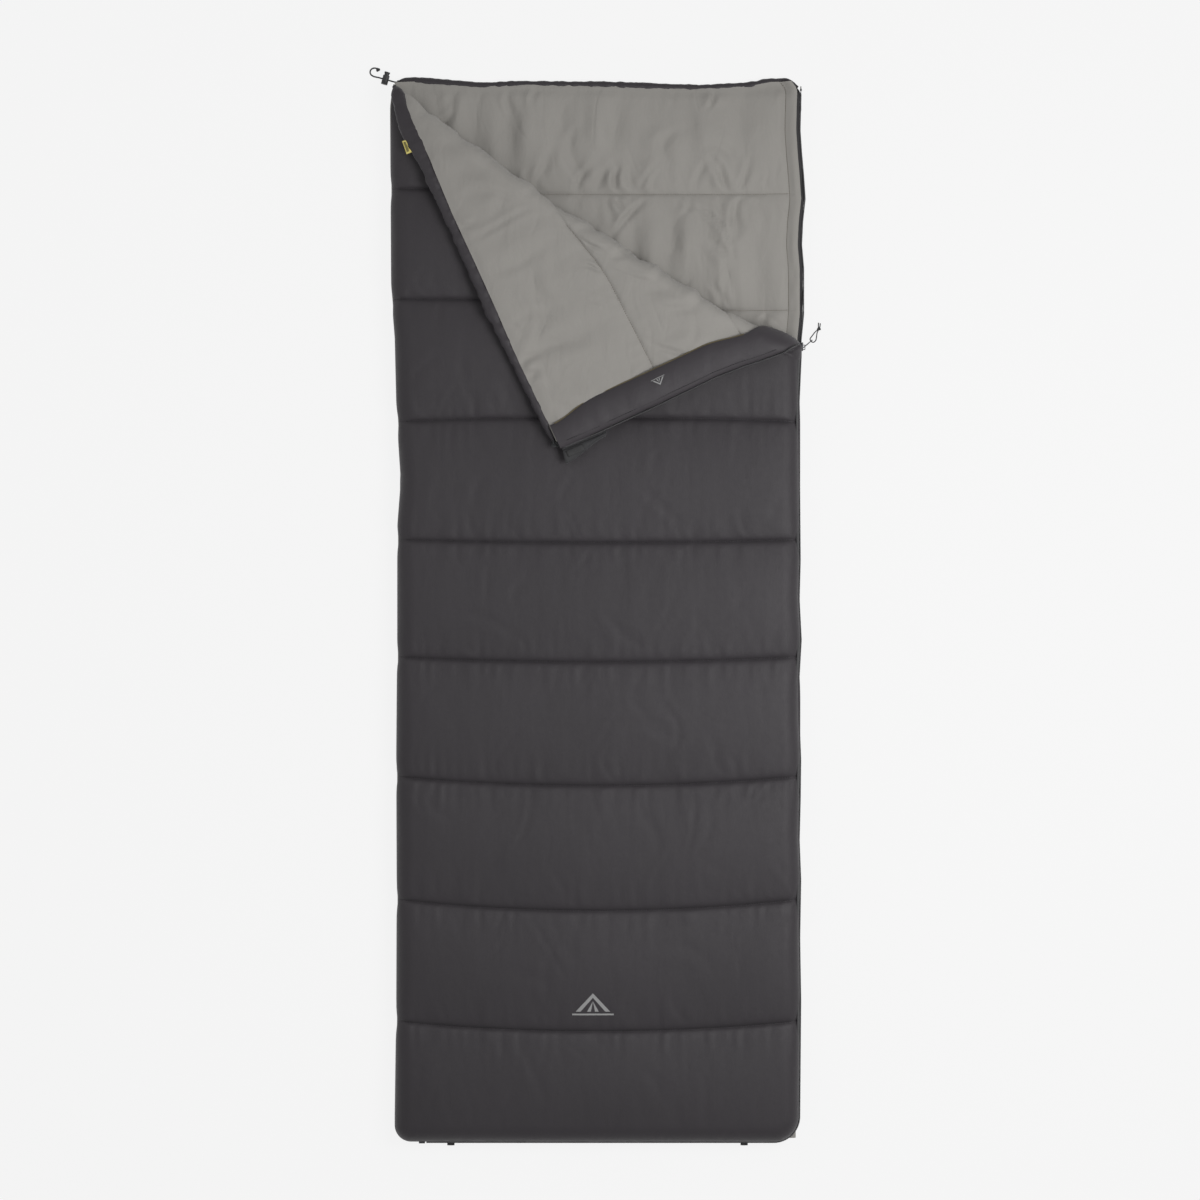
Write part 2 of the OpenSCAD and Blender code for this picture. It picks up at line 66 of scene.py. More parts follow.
EDGE_R = 0.033                                  # radius of the closed bag's rounded edge
SIDE = 0.367                                    # where the flat of the bag ends and its edge begins
FOOT = -1.017
HEAD = 1.035
ARC = EDGE_R * math.pi / 2                      # cloth that goes down the rounded edge
CORNER = (0.35, -1.0)                           # centre of the foot corner that the zip turns
ZIP_LOW, ZIP_HIGH = 0.0315, 0.0345              # where each quilt's cloth ends at the zip
TOP_SEAM, TOP_LINING_SEAM, BOTTOM_LINING_SEAM = 0.052, 0.044, 0.0125
TOP_SEAMS = [0.826, 0.609, 0.373, 0.133, -0.100, -0.340, -0.584, -0.822]
BOTTOM_SEAMS = [0.820, 0.590, 0.352, 0.117, -0.118, -0.353, -0.588, -0.823]
HEM_MID, HEM_Z, TOP_HEM_Z = 1.0425, 0.0076, 0.048
COIL_X, COIL_TOP = 0.4012, 1.022
ZIP_END = -0.34

fold = joints["corner_folds_back"]
FOLD_FROM = np.array(fold["pos_m"][:2])
FOLD_Z = fold["pos_m"][2]
ALONG = -np.array(fold["axis"][:2])             # down the fold line, from the closed side to the zip
ACROSS = np.array([-ALONG[1], ALONG[0]])        # from the fold line towards the head corner
BEND = 0.028                                    # cloth on each side of the fold line that goes into the bend


# ---------- Numbers ----------

def ease(t):
    t = np.clip(t, 0, 1)
    return t * t * (3 - 2 * t)


def near(value, places, width):
    """1 at the nearest of places and 0 far from all of them."""
    gap = np.min([np.abs(value - p) for p in places], axis=0)
    return np.exp(-(gap / width) ** 2)


def ripple(u, v, seed):
    """Smooth noise from -1 to 1, whose swells are about 1 wide."""
    table = np.random.default_rng(seed).uniform(-1, 1, (256, 256))
    iu, iv = np.floor(u).astype(int), np.floor(v).astype(int)
    fu, fv = ease(u - iu), ease(v - iv)

    def at(a, b):
        return table[(iv + b) % 256, (iu + a) % 256]

    low = at(0, 0) * (1 - fu) + at(1, 0) * fu
    high = at(0, 1) * (1 - fu) + at(1, 1) * fu
    return low * (1 - fv) + high * fv


def creases(x, y, marks):
    """Height of single creases in cloth: a valley with a ridge on each side, along a curved line."""
    total = np.zeros(np.shape(x))
    for cx, cy, heading, length, bow, width, depth in marks:
        dx, dy = x - cx, y - cy
        along = dx * math.cos(heading) + dy * math.sin(heading)
        off = dy * math.cos(heading) - dx * math.sin(heading)
        close = (np.abs(along) < length / 2) & (np.abs(off) < abs(bow) + 5 * width)
        a, b = along[close] / (length / 2), off[close]
        b = (b - bow * (a * a - 0.4)) / width
        shape = 0.8 * np.exp(-((b - 1.8) / 1.3) ** 2) - np.exp(-b * b) + 0.4 * np.exp(-((b + 2.2) / 1.6) ** 2)
        total[close] += depth * shape * (1 - a * a) ** 1.5
    return total


def crease_marks(low_x, high_x, seams, pitch, depth, seed):
    """Creases that run from the seams into the cloth, and longer loose ones between the seams."""
    random = np.random.default_rng(seed)
    marks = []
    for a, b in zip(seams[:-1], seams[1:]):
        for _ in range(round((high_x - low_x) / pitch)):
            length = random.uniform(0.03, 0.09) * (1 + (random.random() < 0.25))
            from_top = random.random() < 0.5
            reach = length * 0.42
            marks.append((random.uniform(low_x, high_x), b - reach if from_top else a + reach,
                          math.pi / 2 + random.normal(0, 0.35), length, random.normal(0, 0.14) * length,
                          random.uniform(0.0045, 0.008), depth * random.uniform(0.3, 1.0)))
        for _ in range(round((high_x - low_x) * abs(b - a) / 0.018)):
            length = random.uniform(0.07, 0.17)
            marks.append((random.uniform(low_x, high_x), random.uniform(a + 0.05, b - 0.05),
                          math.pi / 2 + random.normal(0, 0.55), length, random.normal(0, 0.2) * length,
                          random.uniform(0.007, 0.012), depth * random.uniform(0.4, 1.1)))
    return marks


def finer(grid):
    """Twice as many rows and columns, on smooth curves through the ones that are there."""
    for axis in (0, 1):
        g = np.moveaxis(grid, axis, 0)
        padded = np.concatenate([2 * g[:1] - g[1:2], g, 2 * g[-1:] - g[-2:-1]])
        middle = (9 * (padded[1:-2] + padded[2:-1]) - padded[:-3] - padded[3:]) / 16
        out = np.empty((2 * len(g) - 1, *g.shape[1:]))
        out[::2], out[1::2] = g, middle
        grid = np.moveaxis(out, 0, axis)
    return grid


# ---------- Meshes ----------

def grid_faces(rows, columns, flip=False):
    i = np.arange(rows * columns).reshape(rows, columns)
    quads = np.stack([i[:-1, :-1], i[:-1, 1:], i[1:, 1:], i[1:, :-1]], -1).reshape(-1, 4)
    return quads[:, ::-1] if flip else quads


def grid_normals(points, flip=False):
    normals = unit(np.cross(np.gradient(points, axis=1), np.gradient(points, axis=0)))
    return -normals if flip else normals


def unit(vectors):
    return vectors / np.maximum(np.linalg.norm(vectors, axis=-1, keepdims=True), 1e-9)


def circle(sides):
    return np.linspace(0, 2 * math.pi, sides, endpoint=False)


def distances(line):
    """How far along a line each of its points lies."""
    return np.concatenate([[0], np.cumsum(np.linalg.norm(np.diff(line, axis=0), axis=1))])


def at_distance(places, at, line):
    return np.stack([np.interp(places, at, line[:, k]) for k in range(3)], -1)


def add_piece(name, data):
    piece = bpy.data.objects.new(name, data)
    bpy.context.collection.objects.link(piece)
    return piece


def add_mesh(name, points, faces, material, normals=None):
    mesh = bpy.data.meshes.new(name)
    mesh.from_pydata(points.reshape(-1, 3).tolist(), [], faces if isinstance(faces, list) else faces.tolist())
    mesh.shade_smooth()
    if normals is not None:
        mesh.normals_split_custom_set_from_vertices(normals.reshape(-1, 3).tolist())
    mesh.materials.append(material)
    return add_piece(name, mesh)


def add_grid(name, points, material, flip=False):
    """A piece from a grid of places. flip turns its faces over."""
    faces = grid_faces(*points.shape[:2], flip)
    return add_mesh(name, points, faces, material, grid_normals(points, flip))


def part_of(name, points, faces, keep, material, normals):
    """A piece with only the faces that keep names."""
    used, numbers = np.unique(faces[keep], return_inverse=True)
    return add_mesh(name, points[used], numbers.reshape(-1, faces.shape[1]), material, normals[used])


def tube(name, path, section, material):
    """A closed tube round path. section(t, angle) gives offsets (across, up) at shares t of it, from 0 to 1."""
    heading = unit(np.gradient(path, axis=0))
    across = unit(np.cross(heading, [0, 0, 1]))
    up = np.cross(across, heading)
    out, lift = section(np.linspace(0, 1, len(path))[:, None], circle(20)[None, :])
    ring = path[:, None] + out[..., None] * across[:, None] + lift[..., None] * up[:, None]
    return closed_rings(name, ring, material)


def rings(centres, across, up, radius, sides):
    """A circle of points round each of centres."""
    angle = circle(sides)[:, None]
    return centres[:, None] + radius * (np.cos(angle) * across[:, None] + np.sin(angle) * np.array(up)[..., None, :])


def closed_rings(name, ring, material, caps=True):
    """A skin over rows of rings, closed at both ends with caps."""
    rows, sides = ring.shape[:2]
    i = np.arange(rows * sides).reshape(rows, sides)
    j = np.roll(i, -1, axis=1)
    faces = np.stack([i[:-1], j[:-1], j[1:], i[1:]], -1).reshape(-1, 4).tolist()
    if caps:
        faces += [i[0, ::-1].tolist(), i[-1].tolist()]
    return add_mesh(name, ring, faces, material)


# ---------- Materials ----------

class Nodes:
    """A material's node tree, with short ways to add what these materials use."""

    def __init__(self, name, colour, roughness, sheen=0.0, metallic=0.0, gloss=0.5):
        self.material = bpy.data.materials.new(name)
        self.material.use_nodes = True
        self.tree = self.material.node_tree
        self.shader = self.tree.nodes["Principled BSDF"]
        self.shader.inputs["Base Color"].default_value = (*colour, 1)
        self.shader.inputs["Roughness"].default_value = roughness
        self.shader.inputs["Sheen Weight"].default_value = sheen
        self.shader.inputs["Sheen Roughness"].default_value = 0.5
        self.shader.inputs["Metallic"].default_value = metallic
        self.shader.inputs["Specular IOR Level"].default_value = gloss
        self.place = self.add("ShaderNodeTexCoord").outputs["Object"]
        self.bumped = None

    def add(self, kind, **values):
        node = self.tree.nodes.new(kind)
        for key, value in values.items():
            if key in node.inputs:
                node.inputs[key].default_value = value
            else:
                setattr(node, key, value)
        return node

    def link(self, a, b):
        self.tree.links.new(a, b)

    def stretched(self, scale):
        node = self.add("ShaderNodeMapping", Scale=scale)
        self.link(self.place, node.inputs["Vector"])
        return node.outputs["Vector"]

    def noise(self, scale, detail=3.0, stretch=(1, 1, 1), distortion=0.0):
        node = self.add("ShaderNodeTexNoise", Scale=scale, Detail=detail, Distortion=distortion)
        self.link(self.stretched(stretch), node.inputs["Vector"])
        return node.outputs["Fac"]

    def threads(self, pitch):
        """Ribs of the given pitch, along both directions of a plain weave."""
        waves = []
        for direction in ("X", "Y"):
            wave = self.add("ShaderNodeTexWave", bands_direction=direction, Scale=2 * math.pi / 20 / pitch)
            self.link(self.stretched((1, 1, 1)), wave.inputs["Vector"])
            waves.append(wave.outputs["Fac"])
        both = self.add("ShaderNodeMath", operation="MAXIMUM")
        self.link(waves[0], both.inputs[0])
        self.link(waves[1], both.inputs[1])
        return both.outputs[0]

    def bump(self, height, strength, distance):
        node = self.add("ShaderNodeBump", Strength=strength, Distance=distance)
        self.link(height, node.inputs["Height"])
        if self.bumped:
            self.link(self.bumped, node.inputs["Normal"])
        self.bumped = node.outputs["Normal"]
        self.link(self.bumped, self.shader.inputs["Normal"])

    def crease_lines(self, scale, stretch, width, strength, distance):
        """Thin creases along the middle level of a noise, which come and go."""
        lines = self.add("ShaderNodeMath", operation="SUBTRACT")
        lines.inputs[1].default_value = 0.5
        self.link(self.noise(scale, 1.5, stretch, 0.4), lines.inputs[0])
        depth = self.add("ShaderNodeMath", operation="ABSOLUTE")
        self.link(lines.outputs[0], depth.inputs[0])
        profile = self.add("ShaderNodeMapRange", interpolation_type="SMOOTHSTEP")
        profile.inputs["From Max"].default_value = width
        self.link(depth.outputs[0], profile.inputs["Value"])
        there = self.add("ShaderNodeMapRange", interpolation_type="SMOOTHSTEP")
        there.inputs["From Min"].default_value = 0.42
        there.inputs["From Max"].default_value = 0.62
        self.link(self.noise(scale * 0.8, 1, stretch), there.inputs["Value"])
        missing = self.add("ShaderNodeMix", data_type="FLOAT")
        missing.inputs["A"].default_value = 1
        self.link(there.outputs["Result"], missing.inputs["Factor"])
        self.link(profile.outputs["Result"], missing.inputs["B"])
        self.bump(missing.outputs["Result"], strength, distance)

    def shade(self, factor, dark, light):
        """Colour from dark to light by factor."""
        ramp = self.add("ShaderNodeValToRGB")
        ramp.color_ramp.elements[0].position = 0.3
        ramp.color_ramp.elements[1].position = 0.7
        ramp.color_ramp.elements[0].color = (*dark, 1)
        ramp.color_ramp.elements[1].color = (*light, 1)
        self.link(factor, ramp.inputs["Fac"])
        self.link(ramp.outputs["Color"], self.shader.inputs["Base Color"])

    def rough(self, factor, low, high):
        span = self.add("ShaderNodeMapRange")
        span.inputs["To Min"].default_value = low
        span.inputs["To Max"].default_value = high
        self.link(factor, span.inputs["Value"])
        self.link(span.outputs["Result"], self.shader.inputs["Roughness"])


def scaled(colour, by):
    return tuple(c * by for c in colour)


def cloth(name, colour, pitch, roughness, sheen, mottle=0.06, crumple=0.0, creased=0.0, weave=0.35):
    """Woven cloth: threads, uneven colour at two sizes, and soft creases that are too small for the mesh."""
    m = Nodes(name, colour, roughness, sheen, gloss=0.36)
    m.shade(m.noise(5, 4), scaled(colour, 1 - mottle), scaled(colour, 1 + mottle))
    m.rough(m.noise(90, 2), roughness - 0.06, roughness + 0.06)
    if crumple:
        m.bump(m.noise(14, 5, (1.8, 0.8, 1), 0.6), crumple, 0.006)
    if creased:
        m.crease_lines(9, (2.0, 0.9, 1), 0.09, creased, 0.0016)
    m.bump(m.noise(160, 3), 0.25, 0.0006)
    m.bump(m.threads(pitch), weave, 0.00015)
    return m.material


SHELL = (0.0300, 0.0262, 0.0302)
LINING = (0.276, 0.265, 0.247)
shell_cloth = cloth("shell_cloth", SHELL, 0.0006, 0.55, 0.08, crumple=0.12)
# The hems and the draft tube are the shell's cloth, painted lighter for the light that their raised, puffy tops
# catch.
hem_cloth_painted_light = cloth("hem_cloth_painted_light", scaled(SHELL, 1.05), 0.0006, 0.55, 0.08, crumple=0.5)
tube_cloth_painted_light = cloth("tube_cloth_painted_light", scaled(SHELL, 1.12), 0.0006, 0.55, 0.08, crumple=0.3)
lining_cloth = cloth("lining_cloth", LINING, 0.0007, 0.85, 0.15, 0.03, crumple=0.6, creased=0.4)
facing_cloth = cloth("facing_cloth", scaled(LINING, 0.99), 0.0007, 0.85, 0.15, 0.03, crumple=0.3)
tape_cloth = cloth("tape_cloth", (0.040, 0.039, 0.041), 0.0011, 0.75, 0.1, weave=0.8)
webbing_cloth = cloth("webbing_cloth", (0.030, 0.030, 0.032), 0.0016, 0.7, 0.15, weave=1.0)
# Stitch threads, darker than the thread itself: partly their own colour, partly painted shade of the seam grooves.
shell_thread = cloth("shell_thread", (0.008, 0.0078, 0.0085), 0.0004, 0.8, 0.0)
lining_thread = cloth("lining_thread", (0.125, 0.112, 0.088), 0.0004, 0.7, 0.1)
cord_cloth = cloth("cord_cloth", (0.035, 0.036, 0.038), 0.0007, 0.6, 0.1, weave=1.0)
binding_cloth = cloth("binding_cloth", (0.105, 0.085, 0.045), 0.0005, 0.8, 0.1)
mark_ink = cloth("mark_ink", (0.27, 0.27, 0.27), 0.0006, 0.55, 0.0)
label_yellow = cloth("label_yellow", (0.62, 0.53, 0.16), 0.0005, 0.6, 0.1)
label_olive = cloth("label_olive", (0.16, 0.14, 0.045), 0.0005, 0.6, 0.1)


def plastic(name, colour, roughness, grain, strength, metallic=0.0):
    """Moulded plastic, or painted metal: fine grain, and worn lighter in patches."""
    m = Nodes(name, colour, roughness, metallic=metallic)
    m.shade(m.noise(60, 4), colour, scaled(colour, 1.35))
    m.rough(m.noise(grain / 3, 3), roughness - 0.08, roughness + 0.1)
    m.bump(m.noise(grain, 2), strength, 0.0003)
    return m.material


coil_plastic = plastic("coil_plastic", (0.036, 0.035, 0.037), 0.42, 900, 0.2)
lock_plastic = plastic("lock_plastic", (0.024, 0.024, 0.025), 0.45, 700, 0.3)
slider_paint = plastic("slider_paint", (0.05, 0.05, 0.054), 0.38, 500, 0.2, 0.6)
spring_steel = plastic("spring_steel", (0.5, 0.5, 0.52), 0.3, 800, 0.1, 1.0)
hook_plastic = plastic("hook_plastic", (0.02, 0.02, 0.021), 0.7, 1500, 0.9)


# ---------- Camera, light and floor ----------

VIEW_WIDTH = 2.366                              # how much of the plane at mid height the picture spans
FLOOR_LEVEL, FLOOR_REACH = -0.0006, 30
FLOOR_GLOW = 0.865                              # white paper, lit from behind


def look_down():
    """A long lens straight above the bag."""
    camera = bpy.data.objects.new("camera", bpy.data.cameras.new("camera"))
    camera.data.lens = 100
    camera.data.sensor_width = 36
    distance = VIEW_WIDTH * camera.data.lens / camera.data.sensor_width
    camera.location = (0.0049, 0.0177, EDGE_R + distance)
    bpy.context.collection.objects.link(camera)
    bpy.context.scene.camera = camera


def area_light(name, place, size, power):
    light = bpy.data.objects.new(name, bpy.data.lights.new(name, "AREA"))
    light.data.size = size
    light.data.energy = power
    light.location = place
    light.rotation_euler = (-Vector(place)).to_track_quat("-Z", "Y").to_euler()
    bpy.context.collection.objects.link(light)


def studio():
    bpy.context.scene.view_settings.view_transform = "Standard"
    world = bpy.data.worlds.new("studio")
    world.use_nodes = True
    world.node_tree.nodes["Background"].inputs["Color"].default_value = (1, 1, 1, 1)
    world.node_tree.nodes["Background"].inputs["Strength"].default_value = 0.43
    bpy.context.scene.world = world
    area_light("key_light", (1.3, 0.02, 2.3), 1.2, 44)
    area_light("fill_light", (-2.0, 1.2, 2.6), 1.6, 9)
    floor_paper = Nodes("floor_paper", (0.04, 0.04, 0.04), 0.95)
    floor_paper.shader.inputs["Emission Color"].default_value = (1, 1, 1, 1)
    floor_paper.shader.inputs["Emission Strength"].default_value = FLOOR_GLOW
    floor_paper.bump(floor_paper.noise(300, 2), 0.05, 0.0005)
    mesh = bpy.data.meshes.new("floor")
    corners = ((-1, -1), (1, -1), (1, 1), (-1, 1))
    mesh.from_pydata([(x * FLOOR_REACH, y * FLOOR_REACH, FLOOR_LEVEL) for x, y in corners], [], [(0, 1, 2, 3)])
    mesh.materials.append(floor_paper.material)
    floor = bpy.data.objects.new("floor", mesh)
    bpy.context.collection.objects.link(floor)


look_down()
studio()


# ---------- Cords ----------

# Routes of the two free cords, in millimetres
DRAWCORD = [
    (-396, 1042.5, 7.6), (-400, 1042.6, 7.6), (-404, 1043.5, 7.6), (-410, 1045.2, 7.6),
    (-416, 1046.9, 7.6), (-422, 1048.5, 7.6), (-428, 1050.2, 7.6), (-433.5, 1051.8, 7.4),
    (-439, 1053, 6.2), (-444, 1054.8, 4.4), (-448.5, 1058, 2.8), (-450.5, 1062.8, 1.9),
    (-449, 1068, 1.7), (-444.5, 1071, 1.7), (-439, 1071, 2), (-435, 1068, 3),
]
PULL_CORD = [
    (438, 567, 1.5), (437.6, 562, 1.5), (437.7, 557, 2.6), (436.4, 553, 4.1), (434, 551.2, 6.2),
    (431.1, 548.4, 11.5), (428.4, 545.3, 18.5), (425.9, 542.1, 26), (423.5, 538.8, 31.2),
    (420.6, 535.2, 33), (419.1, 532.2, 33), (420.2, 528.9, 33), (421.5, 527.4, 33),
    (424.6, 525.8, 33), (427.9, 526.9, 33), (430.7, 530.6, 31.2), (432, 535.2, 26),
    (433, 540, 18.5), (434.1, 544.9, 11.5), (435.7, 549.2, 6.2), (437.9, 552.9, 4.1),
    (440, 557, 2.6), (441, 562, 1.5), (441.4, 566, 1.5),
]
PULL_KNOT = (438.4, 555, 3.4)
DRAWCORD_THICK, PULL_THICK = 0.003, 0.0022


def metres(route):
    return [tuple(v / 1000 for v in p) for p in route]


def through(points, per_span=6):
    """A smooth curve through points, as many more points."""
    p = np.asarray(points, float)
    p = np.concatenate([p[:1], p, p[-1:]])
    t = np.linspace(0, 1, per_span, endpoint=False)[:, None]
    spans = [0.5 * (2 * b + (c - a) * t + (2 * a - 5 * b + 4 * c - d) * t ** 2 + (3 * b - a - 3 * c + d) * t ** 3)
             for a, b, c, d in zip(p[:-3], p[1:-2], p[2:-1], p[3:])]
    return np.concatenate(spans + [p[-1:]])


def cord_curve(name, points, diameter, material):
    curve = bpy.data.curves.new(name, "CURVE")
    curve.dimensions = "3D"
    curve.bevel_depth = diameter / 2
    curve.bevel_resolution = 3
    curve.use_fill_caps = True
    curve.materials.append(material)
    spline = curve.splines.new("POLY")
    points = through(points)
    spline.points.add(len(points) - 1)
    for point, place in zip(spline.points, points):
        point.co = (*place, 1)
    return add_piece(name, curve)


def overhand_knot(name, centre, size, strand, turn, material):
    """A trefoil of cord, pulled tight."""
    a = circle(72)
    loop = np.stack([np.sin(a) + 2 * np.sin(2 * a), np.cos(a) - 2 * np.cos(2 * a), -1.1 * np.sin(3 * a)], -1)
    loop = loop / 3 * (size - strand / 2)
    c, s = math.cos(turn), math.sin(turn)
    loop = loop @ np.array([[c, -s, 0], [s, c, 0], [0, 0, 1]])
    heading = unit(np.roll(loop, -1, 0) - np.roll(loop, 1, 0))
    side = unit(np.cross(heading, [0.1, 0.2, 1.0]))
    ring = rings(loop, side, np.cross(side, heading), strand / 2, 10)
    ring = np.concatenate([ring, ring[:1]]) + np.array(centre)
    return closed_rings(name, ring, material, caps=False)


drawcord_points, pull_points = metres(DRAWCORD), metres(PULL_CORD)
drawcord = cord_curve("drawcord_end", drawcord_points, DRAWCORD_THICK, cord_cloth)
drawcord_knot = overhand_knot("drawcord_end_knot", drawcord_points[-1], 0.0046, DRAWCORD_THICK, 0.4,
                              cord_cloth)
pull_cord = cord_curve("pull_cord_loop", pull_points, PULL_THICK, cord_cloth)
pull_knot = overhand_knot("pull_cord_loop_knot", metres([PULL_KNOT])[0], 0.0042, PULL_THICK, 1.0,
                          cord_cloth)
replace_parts(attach(drawcord, "bag"), "drawcord_tail")
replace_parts(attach(drawcord_knot, "bag"), "drawcord_knot")
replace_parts(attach(pull_cord, "pull"), "pull_cord")
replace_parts(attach(pull_knot, "pull"), "pull_cord_knot")


# ---------- Cloth laid out flat ----------

CELL = 0.01                                     # size of the simulated cloth's cells
SIM_FRAMES = 14


def rolled(arc, start):
    """Plan distance of a place on the cloth that rolls over an edge from start, and how high up the edge it is."""
    turn = np.clip((arc - start) / EDGE_R, 0, math.pi / 2)
    return np.minimum(arc, start) + EDGE_R * np.sin(turn), np.cos(turn)


def plan(xi, eta):
    """Plan place of each point of cloth, and 1 on the flat of the bag, down to 0 at the middle of its edge."""
    x, high_x = rolled(np.abs(xi), SIDE)
    y, high_y = rolled(-eta, -FOOT)
    x, y, high = np.sign(xi) * x, np.where(eta < 0, -y, eta), high_x * np.where(eta < 0, high_y, 1)
    for side, (cx, cy) in ((1, CORNER), (-1, (SIDE, FOOT))):
        reach = SIDE + ARC - cx
        a, b = (side * xi - cx) / reach, (cy - eta) / reach
        inside = (a > 0) & (b > 0)
        a, b = np.clip(a, 0, 1), np.clip(b, 0, 1)
        u, v = a * np.sqrt(1 - b * b / 2), b * np.sqrt(1 - a * a / 2)
        far = np.hypot(u, v)
        out, high_out = rolled(far * reach, SIDE - cx)
        far = np.maximum(far, 1e-9)
        x = np.where(inside, side * (cx + out * u / far), x)
        y = np.where(inside, cy - out * v / far, y)
        high = np.where(inside, high_out, high)
    return x, y, high


def rows_between(stops, cell):
    """Rows of cloth from stop to stop, closer together near each stop."""
    rows = [stops[0]]
    for a, b in zip(stops[:-1], stops[1:]):
        count = max(4, round(abs(b - a) / cell))
        t = np.arange(1, count + 1) / count
        rows += list(a + (b - a) * (t - 0.75 * np.sin(2 * math.pi * t) / (2 * math.pi)))
    return np.array(rows)


def billow(xs, ys, seams, slack, pressure, swell, seed):
    """Quilted cloth blown up between its seams by cloth simulation: how far each point moves from the flat grid.

    slack is how much wider and longer the cloth is cut than its frame, and swell the unevenness that it starts with.
    """
    rows, columns = len(ys), len(xs)
    flat_x, flat_y = np.meshgrid(xs, ys)
    sewn = [ys[0], *seams, ys[-1]]
    held = np.isin(np.arange(rows), [int(np.argmin(np.abs(ys - s))) for s in sewn])
    gap = np.min([np.abs(flat_y - s) for s in sewn], axis=0)
    rise = np.minimum(gap / 0.1, 1) ** 0.6
    start = 0.008 * rise + swell * rise * (ripple(flat_x / 0.035 + 50, flat_y / 0.12 + 50, seed)
                                           + 0.5 * ripple(flat_x / 0.08 + 90, flat_y / 0.2 + 90, seed + 1))
    start[:, [0, -1]] = 0
    mesh = bpy.data.meshes.new("billow")
    base = np.stack([flat_x, flat_y, start], -1).reshape(-1, 3)
    mesh.from_pydata(base.tolist(), [], grid_faces(rows, columns).tolist())
    sheet = bpy.data.objects.new("billow", mesh)
    bpy.context.collection.objects.link(sheet)
    pins = held[:, None] | (np.arange(columns) == 0) | (np.arange(columns) == columns - 1)
    sheet.vertex_groups.new(name="pins").add(np.flatnonzero(pins).tolist(), 1.0, "REPLACE")
    sheet.shape_key_add(name="Basis")
    cut = sheet.shape_key_add(name="cut")
    spread = base * [slack[0], slack[1], 0]
    cut.data.foreach_set("co", spread.ravel().astype(np.float32))
    modifier = sheet.modifiers.new("cloth", "CLOTH")
    s = modifier.settings
    s.rest_shape_key = cut
    s.vertex_group_mass = "pins"
    s.quality = 4
    s.mass = 0.15
    s.air_damping = 2
    s.tension_stiffness = s.compression_stiffness = 15
    s.shear_stiffness = s.bending_stiffness = 3
    s.use_pressure = True
    s.uniform_pressure_force = pressure
    s.effector_weights.gravity = 0
    modifier.collision_settings.use_collision = False
    modifier.point_cache.frame_start, modifier.point_cache.frame_end = 1, SIM_FRAMES
    for number in range(1, SIM_FRAMES + 1):
        bpy.context.scene.frame_set(number)
    done = sheet.evaluated_get(bpy.context.evaluated_depsgraph_get()).to_mesh()
    places = np.zeros(len(done.vertices) * 3, np.float32)
    done.vertices.foreach_get("co", places)
    bpy.data.objects.remove(sheet)
    bpy.context.scene.frame_set(1)
    moved = places.reshape(rows, columns, 3) - np.stack([flat_x, flat_y, np.zeros_like(flat_x)], -1)
    moved[..., 2] = np.clip(moved[..., 2], 0, 0.02)
    return moved


def smoothed(grid, reach):
    """Each row of a grid, averaged over reach columns to each side."""
    wide = np.pad(grid, ((0, 0), (reach, reach)), "edge")
    total = np.cumsum(np.pad(wide, ((0, 0), (1, 0))), axis=1)
    span = 2 * reach + 1
    return (total[:, span:] - total[:, :-span]) / span


class Sheet:
    """A quilted sheet on its grid: flat places xi and eta, and how the cloth stands out from its seams.

    reach is how far most of the cloth stands out, flutes the share of its unevenness across the bag that it keeps,
    and pitch and depth are those of its creases.
    """

    def __init__(self, xs, stops, seams, slack, pressure, swell, seed, reach, flutes, pitch, depth):
        ys = rows_between(stops, CELL)
        moved = billow(xs, ys, seams, slack, pressure, swell, seed)
        grid = finer(np.concatenate([np.stack(np.meshgrid(xs, ys), -1), moved], -1))
        self.xi, self.eta = grid[..., 0], grid[..., 1]
        self.shift_x, self.shift_y, self.swell = grid[..., 2], grid[..., 3], grid[..., 4]
        self.gap = np.min([np.abs(self.eta - s) for s in seams], axis=0)
        self.rows, self.columns = self.xi.shape
        marks = crease_marks(xs[0], xs[-1], sorted(stops), pitch, depth, seed)
        even = smoothed(self.swell, 15)
        self.swell = even + flutes * (self.swell - even)
        self.swell = self.swell * reach / np.percentile(self.swell, 97)
        self.swell = self.swell + creases(self.xi, self.eta, marks) * np.minimum(self.gap / 0.012, 1)

    def stood(self, batting, puckers, seed):
        """Height over the seams: the simulated swell, the batting that fills in beside a seam, and fine puckers."""
        full = 1 - np.exp(-self.gap / 0.0045)
        gathers = (ripple(self.xi / 0.011, self.eta / 0.06 + 30, seed)
                   + 0.6 * ripple(self.xi / 0.024, self.eta / 0.1, seed + 1))
        return self.swell + batting * full + puckers * gathers * np.exp(-self.gap / 0.03) * full


def steps(low, high, cell=CELL):
    return np.linspace(low, high, round((high - low) / cell) + 1)


# How far each seam's ends lie towards the head from its middle, at places down the bag
BOW_AT = [-1.05, -0.82, -0.58, -0.34, -0.10, 0.13, 0.37, 0.5]
BOW = [0.0, 0.020, 0.022, 0.018, 0.010, 0.006, -0.008, 0.0]


def bowed(x, y, strength=1.0):
    return y + strength * np.interp(y, BOW_AT, BOW) * ((x / 0.4) ** 2 - 0.4) * ease((y + 1.05) / 0.1)


# How far the closed side stands out of line, and the zipped side, at places down the bag
LEFT_AT = [-1.0, -0.8, -0.55, -0.3, -0.05, 0.16, 0.254, 0.333, 0.412, 0.536, 0.62, 0.99, 1.035]
LEFT = [0.0, -0.003, -0.004, -0.003, -0.005, -0.005, -0.012, -0.007, -0.003, 0.0, 0.007, 0.009, 0.004]
RIGHT_AT = [-1.0, -0.771, -0.65, -0.534, -0.456, -0.377, -0.298, -0.219, -0.14, -0.061, 0.018, 0.097,
            0.22, 0.41, 0.5]
RIGHT = [-0.003, -0.001, -0.003, -0.001, -0.004, -0.002, -0.001, -0.004, -0.0045, 0.0, -0.004, -0.002,
         -0.003, -0.004, 0]


